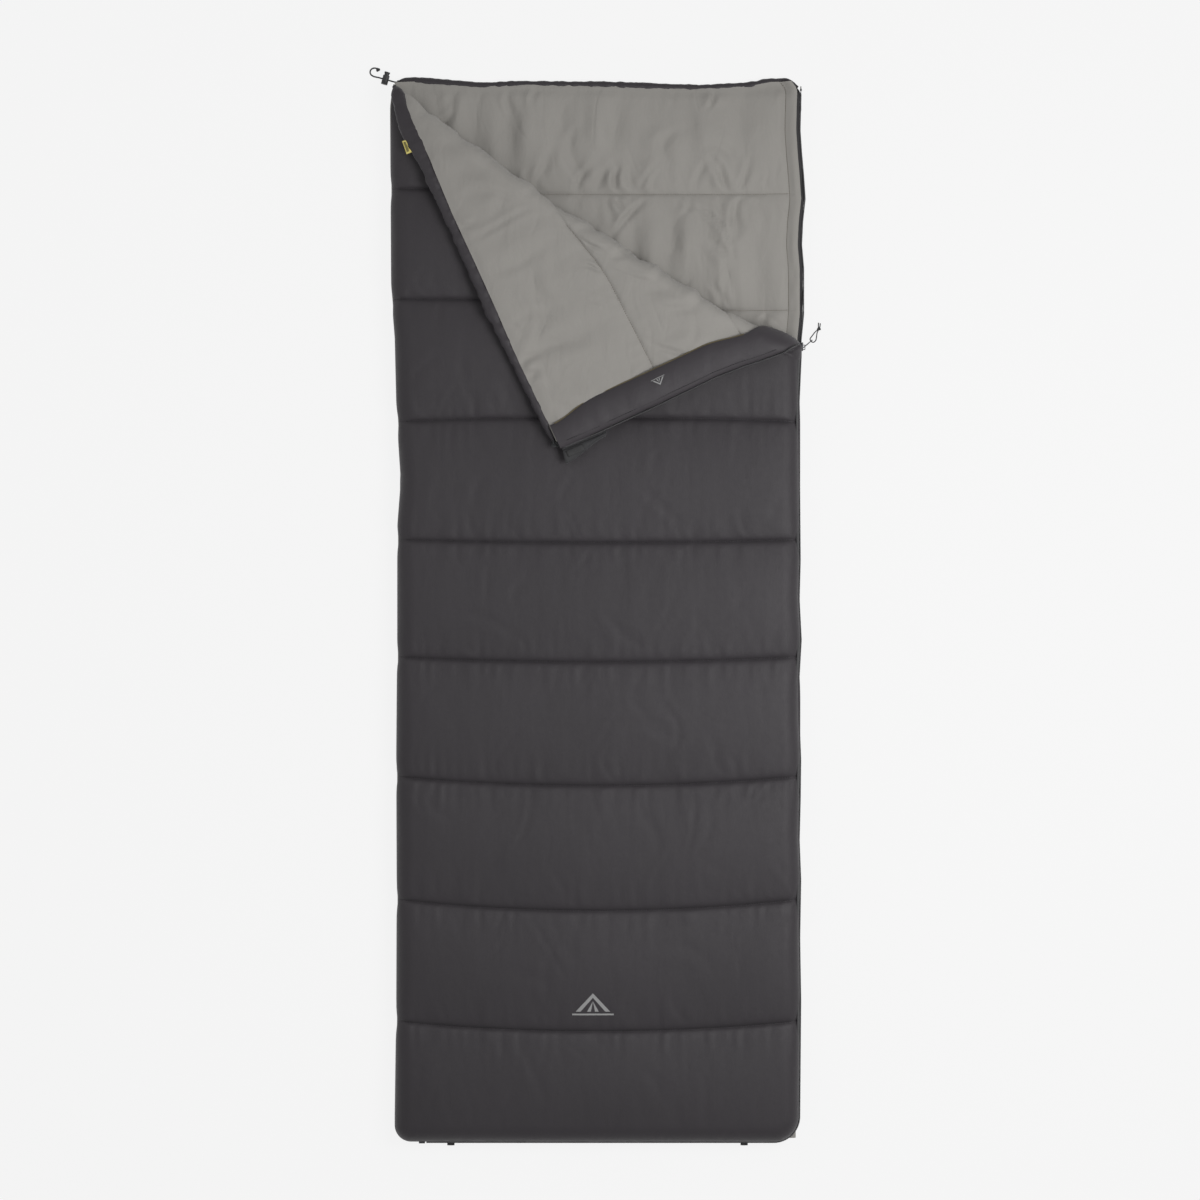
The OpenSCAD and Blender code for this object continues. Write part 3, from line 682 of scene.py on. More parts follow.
def side_wave(x, y):
    left = np.interp(y, LEFT_AT, LEFT) * ease((-x - 0.28) / 0.1)
    right = np.interp(y, RIGHT_AT, RIGHT) * ease((x - 0.28) / 0.1)
    return x - left + right


def pinched(x, y, high, seams):
    """The rounded edges draw in a little at each seam."""
    x = x - np.sign(x) * 0.0025 * near(y, seams, 0.02) * (1 - 0.6 * high) * ease((np.abs(x) - 0.33) / 0.05)
    return side_wave(x, y)


def into_hem(points, share):
    """Brings the head end of the cloth down to the top of the rolled hem."""
    z, top = points[..., 2], 2 * HEM_Z
    drop = 0.85 * share * ease((points[..., 1] - 1.008) / 0.03)
    points[..., 2] = np.where(z > top, top + (z - top) * (1 - drop), z)
    return points


# ---------- The fold ----------

CORNER_END = 0.2                                # how far from the closed side's head corner the stack lies lower
CORNER_KEEP = 0.5                               # share of its height above LOW that the stack keeps in that corner
LOW = 0.03                                      # what lies below this isn't lowered
SHELL_GAP, LINING_GAP = 0.00015, 0.005          # how far each cloth keeps from the middle of the fold
CORNER_GAP = 0.0045                             # and how much farther in the lowered corner
BESIDE = 0.0002                                 # the cloth parts this far to each side of the fold line
PAST_FOLD = 0.0005                              # the flap's zip and narrow pieces start this far past it
CLEAR = 0.03                                    # and stitches end this far from it


def pull_in(s):
    """How far the turned edge lies back from the fold line, at places s along it."""
    back = np.interp(s, [0, 0.074, 0.13, 0.3, 0.6, 0.65, 0.71, 0.76, 0.8, 0.864, 0.95],
                     [0.002, 0.0175, 0.027, 0.033, 0.037, 0.036, 0.032, 0.030, 0.025, 0.0165, 0.005])
    wander = 0.0035 * ripple(s / 0.07, s * 0 + 3, 151) + 0.0018 * ripple(s / 0.028, s * 0 + 7, 152)
    return back + wander * ease(s / 0.1) * ease((0.95 - s) / 0.1)


def fold_place(points):
    offset = points[..., :2] - FOLD_FROM
    return offset @ ALONG, offset @ ACROSS


def fold_over(points, least):
    """Turns what lies past the fold line over it. Cloth in the bend keeps least or more from the fold's middle."""
    s, p = fold_place(points)
    z = points[..., 2]
    turn = math.pi * np.clip((p + BEND) / (2 * BEND), 0, 1)
    radius = FOLD_Z - z
    lift = np.maximum(np.abs(radius * np.cos(turn)), least)
    side = np.where(p < 0, -1, 1)
    in_bend = np.abs(p) < BEND
    out = np.where(in_bend, -BEND + radius * np.sin(turn), -np.abs(p))
    up = np.where(in_bend, FOLD_Z + side * lift, np.where(p < 0, z, 2 * FOLD_Z - z))
    out = out - pull_in(s) * ease((out + 0.11) / 0.11)
    flat = FOLD_FROM + s[..., None] * ALONG + out[..., None] * ACROSS
    return settled(np.concatenate([flat, up[..., None]], -1))


def settled(points):
    """The stack of quilts lies lower towards the head corner at the closed side, where its hems meet."""
    z = points[..., 2]
    away = np.hypot(points[..., 0] + 0.4, points[..., 1] - 1.05)
    keep = 1 - (1 - CORNER_KEEP) * ease(1 - away / CORNER_END)
    points[..., 2] = np.minimum(z, LOW) + np.maximum(z - LOW, 0) * keep
    return points


# Where the folded corner's cloth ends under its hem, and the hem's own middle and half width, across the corner
HEM_BOW_AT = [-0.40, -0.33, -0.285, -0.2, -0.1, 0.0, 0.1, 0.2, 0.3, 0.40]
HEM_BOW = [0.0, 0.004, 0.004, 0.011, 0.012, 0.009, 0.007, 0.007, 0.003, 0.0]
HEM_AT = [-0.40, -0.33, -0.28, -0.2, -0.1, 0.0, 0.1, 0.2, 0.3, 0.37, 0.40]
HEM_CENTRE = [1.0455, 1.0500, 1.0540, 1.0565, 1.0550, 1.0525, 1.0515, 1.0475, 1.0430, 1.0395, 1.0390]
HEM_HALF = [0.0100, 0.0145, 0.0175, 0.0130, 0.0110, 0.0110, 0.0120, 0.0085, 0.0085, 0.0070, 0.0060]


def flap_shape(points):
    """Plan shape of the folded corner before it is folded: its hem bows out and its zipped edge wanders."""
    x, y = points[..., 0], points[..., 1]
    lift = np.interp(x, HEM_BOW_AT, HEM_BOW) * ease((y - 0.9) / 0.13)
    across = np.interp(y, [0.5, 0.7, 0.82, 0.95], [0, -0.007, -0.001, 0.002]) * ease((x - 0.25) / 0.12)
    points[..., 1] += lift
    points[..., 0] += across
    return points


def bend_between(strip, corner):
    """Bakes a bend strip's place into its mesh. The tilt of the fold's middle, which slopes down in the corner, is
    worked out but not applied.
    """
    drop = (FOLD_Z - LOW) * (1 - CORNER_KEEP) if corner else 0.0
    slope = drop / CORNER_END
    tilt = np.array([-slope * ALONG[0], -slope * ALONG[1], 1.0])
    tilt /= np.linalg.norm(tilt)
    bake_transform(strip)


def turned_pieces(name, points, faces, normals, least, material, straight=True):
    """Cloth that crosses the fold: what stays on the quilt, the strips that bend, and the flap.

    With straight, the faces that cross the fold line are narrowed to it, so that the cloth's edges run straight
    there. That moves points in place.
    """
    s, p = fold_place(points)
    past = (p > 0).reshape(-1)[faces]
    stays, turns = ~past.any(axis=1), past.all(axis=1)
    bends = ~stays & ~turns
    beside = np.abs(p) < BESIDE
    if straight:
        beside.reshape(-1)[faces[bends].reshape(-1)] = True
    points[..., :2] += np.where(beside, np.where(p > 0, BESIDE, -BESIDE) - p, 0)[..., None] * ACROSS
    done = fold_over(points, np.where(s < CORNER_END + 0.01, least + CORNER_GAP, least))
    flat, flat_normals = done.reshape(-1, 3), normals(done).reshape(-1, 3)

    def piece(title, keep):
        return part_of(title, flat, faces, keep, material, flat_normals)

    corner = s.reshape(-1)[faces].mean(axis=1) < CORNER_END
    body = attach(piece(name, stays), "top_quilt")
    strips = [piece(name + "_bend", bends & ~corner)]
    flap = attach(piece("flap_" + name, turns), "flap")
    bend_between(strips[0], False)
    if (bends & corner).any():
        strips.append(piece(name + "_corner_bend", bends & corner))
        bend_between(strips[1], True)
    return body, strips, flap


# ---------- Top quilt ----------

COLUMNS = steps(-SIDE - ARC, SIDE + ARC)
FOOT_END = FOOT - ARC
shell_sheet = Sheet(COLUMNS, [FOOT_END, *TOP_SEAMS[::-1], HEAD], TOP_SEAMS, slack=(1.012, 1.008), pressure=3.0,
                    swell=0.002, seed=1, reach=0.0090, flutes=0.2, pitch=0.03, depth=0.0005)


def top_shell():
    g = shell_sheet
    x, y, high = plan(g.xi + g.shift_x, g.eta + g.shift_y)
    base = EDGE_R + (ZIP_HIGH - EDGE_R) * ease((x + 0.3) / 0.3)
    stood = g.stood(0.0055, 0.0014, 7) * ease((HEAD + 0.03 - g.eta) / 0.05)
    z = base + (TOP_SEAM - base + stood) * high
    points = flap_shape(np.stack([pinched(x, y, high, TOP_SEAMS), bowed(x, y), z], -1))
    faces = grid_faces(g.rows, g.columns)
    side = g.xi.reshape(-1)[faces].mean(axis=1) < -SIDE
    done = points.copy()
    s, p = fold_place(done)
    back = np.maximum(p + 0.004 + pull_in(s), 0) * ease((done[..., 2] - 0.02) / 0.02)
    done[..., :2] -= back[..., None] * ACROSS
    done = into_hem(settled(done), ease((-0.370 - done[..., 0]) / 0.025))
    wrap = part_of("side_fold_top", done.reshape(-1, 3), faces, side, shell_cloth,
                   grid_normals(done).reshape(-1, 3))
    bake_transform(wrap)
    body, strips, flap = turned_pieces("top_quilt_shell", points, faces[~side], grid_normals, SHELL_GAP,
                                       shell_cloth)
    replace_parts(wrap, "side_fold_shell", "side_fold_insulation")
    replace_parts(body, "top_shell", "top_insulation")
    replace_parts(flap, "flap_shell", "flap_insulation")
    return points


shell_flat = top_shell()

TOP_LINING_EDGE = 0.385
LINING_FOOT = -1.046
LINING_EDGE = 0.397                             # the linings meet inside the closed side, beside its hinge line
LINING_CORNERS = ((*CORNER, 0.048), (-SIDE, FOOT, 0.0305))  # centre and radius at each foot corner
lining_sheet = Sheet(steps(-LINING_EDGE, TOP_LINING_EDGE), [LINING_FOOT, *TOP_SEAMS[::-1], HEAD], TOP_SEAMS,
                     slack=(1.05, 1.012), pressure=1.5, swell=0.006, seed=21, reach=0.0085, flutes=1.4,
                     pitch=0.04, depth=0.0040)


def in_corners(x, y):
    """Keeps a lining inside the bag's two rounded foot corners."""
    for cx, cy, reach in LINING_CORNERS:
        a, b = (x - cx) * np.sign(cx), cy - y
        far = np.hypot(a, b)
        shrink = np.where((a > 0) & (b > 0) & (far > reach), reach / np.maximum(far, 1e-9), 1)
        x, y = cx + (x - cx) * shrink, cy + (y - cy) * shrink
    return x, y


def lining_edges(xi, y):
    """1 at a lining's edge in the closed side, and 1 at its edge at the foot, down to 0 inside them."""
    return ease((-SIDE + 0.01 - xi) / 0.035), ease((-1.01 - y) / 0.035)


def top_lining():
    """The top quilt's lining faces down until it is folded over."""
    g = lining_sheet
    x, y = g.xi + g.shift_x, g.eta + g.shift_y
    stood = g.stood(0.0035, 0.0012, 27) * ease((HEAD + 0.02 - g.eta) / 0.04)
    rim = ease((g.xi - 0.355) / 0.03)
    inner, foot = lining_edges(g.xi, y)
    z = TOP_LINING_SEAM - stood * (1 - 0.8 * inner) * (1 - 0.8 * foot) - rim * 0.004
    z = z - np.maximum(inner * 0.0085 * ease((0.92 - y) / 0.1), foot * 0.0075)
    y = bowed(x, y) - 0.026 * np.clip((x + 0.008) / 0.4, 0, 1) * np.exp(-((y - TOP_SEAMS[0]) / 0.09) ** 2)
    x, y = in_corners(x, y)
    points = flap_shape(np.stack([side_wave(x, y), y, z], -1))
    faces = grid_faces(g.rows, g.columns, flip=True)
    body, strips, flap = turned_pieces("top_quilt_lining", points, faces, lambda q: grid_normals(q, flip=True),
                                       LINING_GAP, lining_cloth)
    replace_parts(body, "top_lining")
    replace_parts(strips[0], "fold_roll_lining", "fold_roll_insulation")
    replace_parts(flap, "flap_lining")
    return points


lining_flat = top_lining()


# ---------- Bottom quilt ----------

FACING_SEAM = 0.372
BOTTOM_LINING_HEAD = 1.041

# How far the open head edge stands out of line across the bag, and the open zipped edge at places down it
HEAD_WAVE_AT = [-0.40, -0.36, -0.31, -0.23, -0.15, 0.0, 0.1, 0.2, 0.3, 0.345, 0.37, 0.40]
HEAD_WAVE = [0.0, 0.002, -0.002, -0.008, -0.004, -0.006, -0.009, -0.012, -0.007, 0.001, 0.001, -0.004]
OPEN_EDGE_AT = [0.53, 0.56, 0.582, 0.627, 0.672, 0.718, 0.763, 0.809, 0.854, 0.899, 0.945, 0.99, 1.02, 1.035]
OPEN_EDGE = [0.0, 0.003, 0.005, 0.005, 0.005, 0.001, 0.003, 0.008, 0.005, 0.001, -0.002, -0.001, 0.0, -0.003]


def open_shape(points):
    """Plan shape of the bottom quilt where it lies open: its head edge and zipped edge wander."""
    x, y = points[..., 0], points[..., 1]
    head = np.interp(x, HEAD_WAVE_AT, HEAD_WAVE) * ease((y - 0.88) / 0.15)
    across = np.interp(y, OPEN_EDGE_AT, OPEN_EDGE) * ease((x - 0.28) / 0.1)
    corner = 0.010 * np.clip((y - 1.024) / 0.016, 0, 1) ** 2 * ease((x - 0.35) / 0.03)
    points[..., 1] += head
    points[..., 0] += across - corner
    return into_hem(points, 1.0)


def bottom_lining():
    g = Sheet(steps(-LINING_EDGE, FACING_SEAM), [LINING_FOOT, *BOTTOM_SEAMS[::-1], BOTTOM_LINING_HEAD], BOTTOM_SEAMS,
              slack=(1.06, 1.012), pressure=1.5, swell=0.007, seed=41, reach=0.0135, flutes=1.5,
              pitch=0.03, depth=0.0055)
    x, y = g.xi + g.shift_x, g.eta + g.shift_y
    stood = g.stood(0.004, 0.0014, 47) * ease((HEAD + 0.02 - g.eta) / 0.04)
    rim = ease((g.xi - FACING_SEAM + 0.07) / 0.07)
    inner, foot = lining_edges(g.xi, y)
    z = BOTTOM_LINING_SEAM + stood * (1 - 0.6 * rim) * (1 - 0.8 * inner) * (1 - 0.8 * foot)
    z = z + np.maximum(np.maximum(rim * 0.010, inner * 0.018), foot * 0.0165)
    x, y = in_corners(x, y)
    points = open_shape(np.stack([side_wave(x, y), y, z], -1))
    lining = add_grid("bottom_quilt_lining", points, lining_cloth)
    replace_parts(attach(lining, "bag"), "bottom_lining")
    return g, points


bottom_grid, bottom_points = bottom_lining()


def side_fold_lining():
    """The lining that runs round the inside of the closed side, from one quilt to the other."""
    low, high = 0.0287, 0.0375
    y, t = np.meshgrid(np.arange(-1.040, 1.034, CELL), np.linspace(0, 1, 7), indexing="ij")
    z = low + (high - low) * t
    x, y = in_corners(-LINING_EDGE + 0.001 - 0.0022 * np.sin(t * math.pi), y)
    points = into_hem(settled(np.stack([side_wave(x, y), y, z], -1)), 1.0)
    strip = add_grid("side_fold_lining", points, lining_cloth, flip=True)
    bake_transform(strip)


side_fold_lining()


def facing_strip():
    """The plain strip of lining between the quilting and the zip, seamed along both its edges."""
    edge = bottom_points[:, -1]
    t = np.linspace(0, 1, 9)[None, :]
    lift = np.sin(t * math.pi) ** 0.7 * 0.0022
    wander = 0.0012 * ripple(edge[:, 1:2] / 0.03 + 5, t * 2, 61) * np.sin(t * math.pi)
    x = edge[:, :1] + t * (0.394 - FACING_SEAM)
    z = edge[:, 2:] + (0.0292 - edge[:, 2:]) * ease(t) + lift + wander
    points = np.stack([x, np.broadcast_to(edge[:, 1:2], x.shape), z], -1)
    strip = add_grid("facing_strip", points, facing_cloth)
    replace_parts(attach(strip, "bag"), "zip_facing")


facing_strip()


def bottom_shell():
    ys = rows_between([FOOT_END, *BOTTOM_SEAMS[::-1], HEAD], 0.02)
    xi, eta = np.meshgrid(COLUMNS, ys)
    x, y, high = plan(xi, eta)
    gap = np.min([np.abs(eta - s) for s in BOTTOM_SEAMS], axis=0)
    gathers = 0.0012 * (1 + ripple(xi / 0.05, eta / 0.03, 71)) * np.exp(-gap / 0.03)
    groove = 0.003 * np.exp(-(gap / 0.012) ** 2) + gathers
    base = EDGE_R + (ZIP_LOW - EDGE_R) * ease((x + 0.3) / 0.3)
    z = base - (base - groove) * high
    points = open_shape(np.stack([pinched(x, y, high, TOP_SEAMS), bowed(x, y, 0.6), z], -1))
    normals = grid_normals(points, flip=True).reshape(-1, 3)
    faces = grid_faces(len(ys), len(COLUMNS), flip=True)
    side = xi.reshape(-1)[faces].mean(axis=1) < -SIDE
    flat = points.reshape(-1, 3)
    wrap = part_of("side_fold_bottom", flat, faces, side, shell_cloth, normals)
    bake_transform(wrap)
    shell = part_of("bottom_quilt_shell", flat, faces, ~side, shell_cloth, normals)
    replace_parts(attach(shell, "bag"), "bottom_shell", "bottom_insulation")


bottom_shell()


# ---------- Head hems ----------

def pillow_section(wide, thick, pitch, seed, puckers):
    """A soft flattened tube, thick in the middle and wide(t) at shares t of it, gathered along its length."""
    def section(t, angle):
        gather = (1 + puckers * ripple(t * pitch, angle * 0 + 3, seed)
                  + 0.5 * puckers * ripple(t * pitch * 2.3, angle, seed + 1))
        ends = np.clip(np.sin(np.clip(t, 0.004, 0.996) * math.pi) * 14, 0, 1) ** 0.5
        return (wide(t) * gather * ends * np.sign(np.cos(angle)) * np.abs(np.cos(angle)) ** 0.9,
                thick * gather * ends * np.sin(angle))
    return section


def bottom_hem():
    x = steps(-0.3965, 0.3965, 0.004)
    wave = np.interp(x, HEAD_WAVE_AT, HEAD_WAVE) - 0.007 * np.clip((x - 0.372) / 0.0245, 0, 1) ** 2
    path = np.stack([x, HEM_MID + wave, HEM_Z + 0 * x], -1)
    section = pillow_section(lambda t: 0.0076 + 0.0015 * ripple(t * 9, t, 5), 0.0070, 70, 81, 0.13)
    hem = tube("bottom_hem", path, section, hem_cloth_painted_light)
    inner = cord_curve("bottom_hem_cord", path[::4], DRAWCORD_THICK, cord_cloth)
    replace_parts(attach(hem, "bag"), "bottom_head_hem")
    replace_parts(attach(inner, "bag"), "bottom_drawcord")


bottom_hem()


def folded_line(points, least=LINING_GAP):
    """Flat places on the corner, in their place on the folded flap. None stays behind the fold line."""
    p = fold_place(points)[1]
    points[..., :2] += np.maximum(PAST_FOLD - p, 0)[..., None] * ACROSS
    return fold_over(points, least)


def flap_hem():
    low, high = -0.388, 0.386
    x = steps(low, high, 0.003)
    path = folded_line(np.stack([x, np.interp(x, HEM_AT, HEM_CENTRE), TOP_HEM_Z + 0 * x], -1))
    section = pillow_section(lambda t: np.interp(low + (high - low) * t, HEM_AT, HEM_HALF), 0.0074, 60, 91, 0.14)
    hem = tube("flap_hem", path, section, hem_cloth_painted_light)
    inner = cord_curve("flap_hem_cord", path[4:-4:8], DRAWCORD_THICK, cord_cloth)
    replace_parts(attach(hem, "flap"), "flap_head_hem")
    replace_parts(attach(inner, "flap"), "flap_drawcord")
    past_tip = path[-1] + (path[-1] - path[-3]) * 0.6
    lump = overhand_knot("flap_cord_knot", past_tip, 0.0085, 0.0042, 0.9, cord_cloth)
    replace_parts(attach(lump, "flap"), "flap_cord_end")


flap_hem()


# ---------- Draft tube ----------

TUBE_X, TUBE_Z = 0.3655, 0.0345                 # its middle
TUBE_HALF, TUBE_THICK = 0.033, 0.0095           # half of its width and of its thickness
TUBE_ROUND = 0.85                               # below 1, its section is fuller than an ellipse


def tube_middle(y):
    """The tube's middle and half width at places y: it narrows towards the head."""
    narrow = ease((y - 0.93) / 0.1)
    return TUBE_X + 0.010 * narrow, TUBE_HALF * (1 - 0.25 * narrow)


def tube_place(y, angle):
    """Places on the tube's skin, before the corner is folded."""
    end = ease((HEAD - y) / 0.04) * 0.25 + 0.75
    centre, half = tube_middle(y)
    gather = 1 + 0.10 * ripple(y / 0.018, angle * 0.6, 101) + 0.10 * ripple(y / 0.05, angle * 0.4 + 9, 102)
    across = half * np.sign(np.cos(angle)) * np.abs(np.cos(angle)) ** TUBE_ROUND
    up = TUBE_THICK * end * gather * np.sin(angle) * (0.75 + 0.25 * np.sin(angle) ** 2)
    sag = 0.0015 * ripple(y / 0.09, angle * 0, 103)
    return flap_shape(np.stack([centre + across + sag, y + 0 * angle, TUBE_Z + up], -1))


def tube_angle(x, y):
    """The angle on the tube's underside that lies at x."""
    centre, half = tube_middle(y)
    share = np.clip((x - centre) / half, -0.98, 0.98)
    return -np.arccos(np.sign(share) * np.abs(share) ** (1 / TUBE_ROUND))


def draft_tube():
    """The stuffed tube behind the zip, from the foot corner over the fold to the head."""
    rows, sides = 330, 28
    y = np.linspace(-0.94, HEAD - 0.002, rows)[:, None]
    points = tube_place(y, circle(sides)[None, :])
    i = np.arange(rows * sides).reshape(rows, sides)
    j = np.roll(i, -1, axis=1)
    faces = np.stack([i[:-1], i[1:], j[1:], j[:-1]], -1).reshape(-1, 4)

    def normals(done):
        wrapped = np.concatenate([done[:, -1:], done, done[:, :1]], axis=1)
        return grid_normals(wrapped, flip=True)[:, 1:-1]

    body, strips, flap = turned_pieces("draft_tube", points, faces, normals, LINING_GAP, tube_cloth_painted_light,
                                       straight=False)
    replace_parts(body, "draft_tube_cover", "draft_tube_filling")
    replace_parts(flap, "flap_draft_tube_cover", "flap_draft_tube_filling")


draft_tube()


def tube_binding():
    """The thin bound edge of the lining where the tube is sewn on, on the folded corner."""
    y = np.arange(0.56, 1.026, 0.004)[:, None]
    t = np.linspace(0, 1, 5)[None, :]
    centre, half = tube_middle(y)
    x = centre - half - 0.0008 + 0.0026 * t
    z = 0.0338 - 0.0012 * np.sin(t * math.pi) + 0 * y
    points = flap_shape(np.stack([x, y + 0 * t, z], -1))
    points = points[fold_place(points)[1].min(axis=1) > CLEAR]
    strip = patch("flap_tube_binding", fold_over(points, LINING_GAP), 0.0006, binding_cloth)
    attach(strip, "flap")


# ---------- Zip ----------

ZIP_STEP, TOOTH_PITCH = 0.0025, 0.0026
TAPE_START = 0.0012                             # from the coil's middle to the tape's edge


def edge_line(up, head):
    """The zip's line round the bag: down the side, round the foot corner and along the foot."""
    (cx, cy), reach = CORNER, COIL_X - CORNER[0]
    side = [(COIL_X, y) for y in np.arange(head, cy, -ZIP_STEP)]
    turn = [(cx + reach * math.cos(a), cy - reach * math.sin(a)) for a in np.linspace(0, math.pi / 2, 33)]
    foot = [(x, cy - reach) for x in np.arange(cx, ZIP_END, -ZIP_STEP)[1:]]
    line = np.array(side + turn + foot)
    line[:, 0] = side_wave(line[:, 0], line[:, 1])
    return np.concatenate([line, np.full((len(line), 1), EDGE_R + up * 0.0022)], axis=1)


def zip_half(name, line, body, node):
    """Coil teeth side by side along a line of places."""
    at = distances(line)
    teeth = np.arange(0.001, at[-1] - 0.001, TOOTH_PITCH)
    profile = np.array([(-0.0011, 0.7), (-0.0006, 1.0), (0.0006, 1.0), (0.0011, 0.7)])
    places = (teeth[:, None] + profile[:, 0]).reshape(-1)
    radius = 0.0015 * np.tile(profile[:, 1], len(teeth))
    heading = unit(at_distance(places, at, np.gradient(line, at, axis=0)))
    up = (0, 0, 1)
    ring = rings(at_distance(places, at, line), np.cross(heading, up), up, radius[:, None, None], 8)
    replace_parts(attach(closed_rings(name, ring, coil_plastic), body), node)


def tape_band(name, line, inward, rises, body, node):
    """The zip's tape, from its coil onto the edge of the quilt. rises is 1 or -1: up or down from the coil."""
    columns, width = 7, 0.013
    reach, lift = (0.45, 0.85) if rises > 0 else (0.55, 0.15)
    t = np.linspace(0, 1, columns)[None, :, None]
    wave = 0.0006 * ripple(np.arange(len(line))[:, None] / 9, np.linspace(0, 2, columns)[None, :], 111)[..., None]
    up = rises * np.sin(t * math.pi / 2) * width * lift
    points = line[:, None] + inward[:, None] * (t * width * reach + wave) + np.array([0, 0, 1.0]) * up
    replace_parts(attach(add_grid(name, points, tape_cloth, flip=rises > 0), body), node)


def inward_of(line):
    return np.cross(unit(np.gradient(line, axis=0)), [0, 0, 1.0]) * [1, 1, 0]


def zips():
    low = open_shape(edge_line(-1, COIL_TOP))
    zip_half("zip_coil_low", low, "bag", "bottom_zip_coil")
    tape = open_shape(edge_line(-1, HEAD + 0.008) - [0, 0, 0.001])
    inward = inward_of(tape)
    tape_band("zip_tape_low", tape + inward * TAPE_START, inward, -1, "bag", "bottom_zip_tape")
    high, tape = edge_line(1, COIL_TOP), edge_line(1, HEAD) + [0, 0, 0.001]
    past, tape_past = fold_place(high)[1], fold_place(tape)[1]
    zip_half("zip_coil_high", high[past < 0], "top_quilt", "top_zip_coil")
    below = tape[tape_past < 0]
    inward = inward_of(below)
    tape_band("zip_tape_high", below + inward * TAPE_START, inward, 1, "top_quilt", "top_zip_tape")
    zip_half("flap_zip_teeth", fold_over(flap_shape(high[past > PAST_FOLD]), 0.0022), "flap", "flap_zip_coil")
    folded = fold_over(flap_shape(tape[tape_past > PAST_FOLD]), 0.0022)
    inward = -inward_of(folded)
    tape_band("flap_zip_band", folded + inward * TAPE_START, inward, -1, "flap", "flap_zip_tape")


zips()


# ---------- Stitching ----------

STITCH, STITCH_GAP, STITCH_THICK = 0.0038, 0.0010, 0.0012


def stitches(line, up):
    """Points and faces of short raised stitches along a line of places that already lies on the cloth."""
    at = distances(line)
    starts = np.arange(STITCH_GAP, at[-1] - STITCH, STITCH + STITCH_GAP)
    shape = [(0.0, 0.35), (0.2, 0.9), (0.8, 0.9), (1.0, 0.35)]
    sides, rows = 6, []
    ahead = unit(at_distance(starts + STITCH, at, line) - at_distance(starts, at, line))
    for share, swell in shape:
        ring = rings(at_distance(starts + share * STITCH, at, line), np.cross(ahead, up), up,
                     STITCH_THICK / 2 * swell, sides)
        rows.append(ring + np.array(up) * (swell - 0.9) * STITCH_THICK * 0.8)
    points = np.stack(rows, axis=1).reshape(-1, 3)
    one = []
    for r in range(len(shape) - 1):
        for k in range(sides):
            a, b = r * sides + k, r * sides + (k + 1) % sides
            one.append((a, b, b + sides, a + sides))
    faces = (np.arange(len(starts))[:, None, None] * len(shape) * sides + np.array(one)).reshape(-1, 4)
    return points, faces


def stitched(name, lines, body, thread, slot, *nodes):
    """One piece of all the stitches along several lines."""
    points, faces, total = [], [], 0
    for line in lines:
        p, f = stitches(line, (0, 0, 1))
        points.append(p)
        faces.append(f + total)
        total += len(p)
    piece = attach(add_mesh(name, np.concatenate(points), np.concatenate(faces), thread), body)
    if nodes:
        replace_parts(piece, *nodes)


def row_at(sheet, seam):
    return int(np.argmin(np.abs(sheet.eta[:, 0] - seam)))


def quilting():
    body, flap = [], []
    for seam in TOP_SEAMS:
        line = shell_flat[row_at(shell_sheet, seam)][np.abs(shell_sheet.xi[0]) < SIDE + 0.02]
        kept = line[fold_place(line)[1] < -CLEAR]
        if len(kept) > 4:
            body.append(fold_over(kept, 0.0) + [0, 0, 0.0003])
    stitched("top_quilting", body, "top_quilt", shell_thread, "shell_thread", "top_quilting_thread")
    for seam in TOP_SEAMS[:2]:
        line = lining_flat[row_at(lining_sheet, seam)][lining_sheet.xi[0] < 0.35]
        over = line[fold_place(line)[1] > CLEAR]
        if len(over) > 4:
            flap.append(fold_over(over, 0.0) + [0, 0, 0.0002])
    stitched("flap_quilting", flap, "flap", lining_thread, "lining_thread", "flap_quilting_thread")
    y = np.arange(0.56, 1.02, 0.004)
    seam = tube_place(y[:, None], tube_angle(TUBE_X + 0.0245 + 0 * y, y)[:, None])[:, 0]
    seam = seam[fold_place(seam)[1] > CLEAR]
    stitched("flap_tube_stitching", [fold_over(seam, LINING_GAP) + [0, 0, 0.0002]], "flap", shell_thread,
             "shell_thread")
    rows = [bottom_points[row_at(bottom_grid, seam)] + [0, 0, 0.0002] for seam in BOTTOM_SEAMS]
    facing = [bottom_points[:, -1][::2] + [0, 0, 0.0006]]
    stitched("bottom_quilting", rows + facing, "bag", lining_thread, "lining_thread", "bottom_quilting_thread")


quilting()


# ---------- Trim ----------

def patch(name, points, thickness, material, flip=False):
    """A thin closed strip of cloth from a grid of places on its middle."""
    rows, columns = points.shape[:2]
    normal = grid_normals(points, flip)
    both = np.concatenate([(points + normal * thickness / 2).reshape(-1, 3),
                           (points - normal * thickness / 2).reshape(-1, 3)])
    top = grid_faces(rows, columns, flip)
    i = np.arange(rows * columns).reshape(rows, columns)
    rim = np.concatenate([i[0, :-1], i[:-1, -1], i[-1, :0:-1], i[:0:-1, 0]])
    ahead = np.roll(rim, -1)
    size = rows * columns
    walls = np.stack([rim, rim + size, ahead + size, ahead], -1)
    walls = walls[:, ::-1] if flip else walls
    faces = np.concatenate([top, top[:, ::-1] + size, walls])
    return add_mesh(name, both, faces, material)


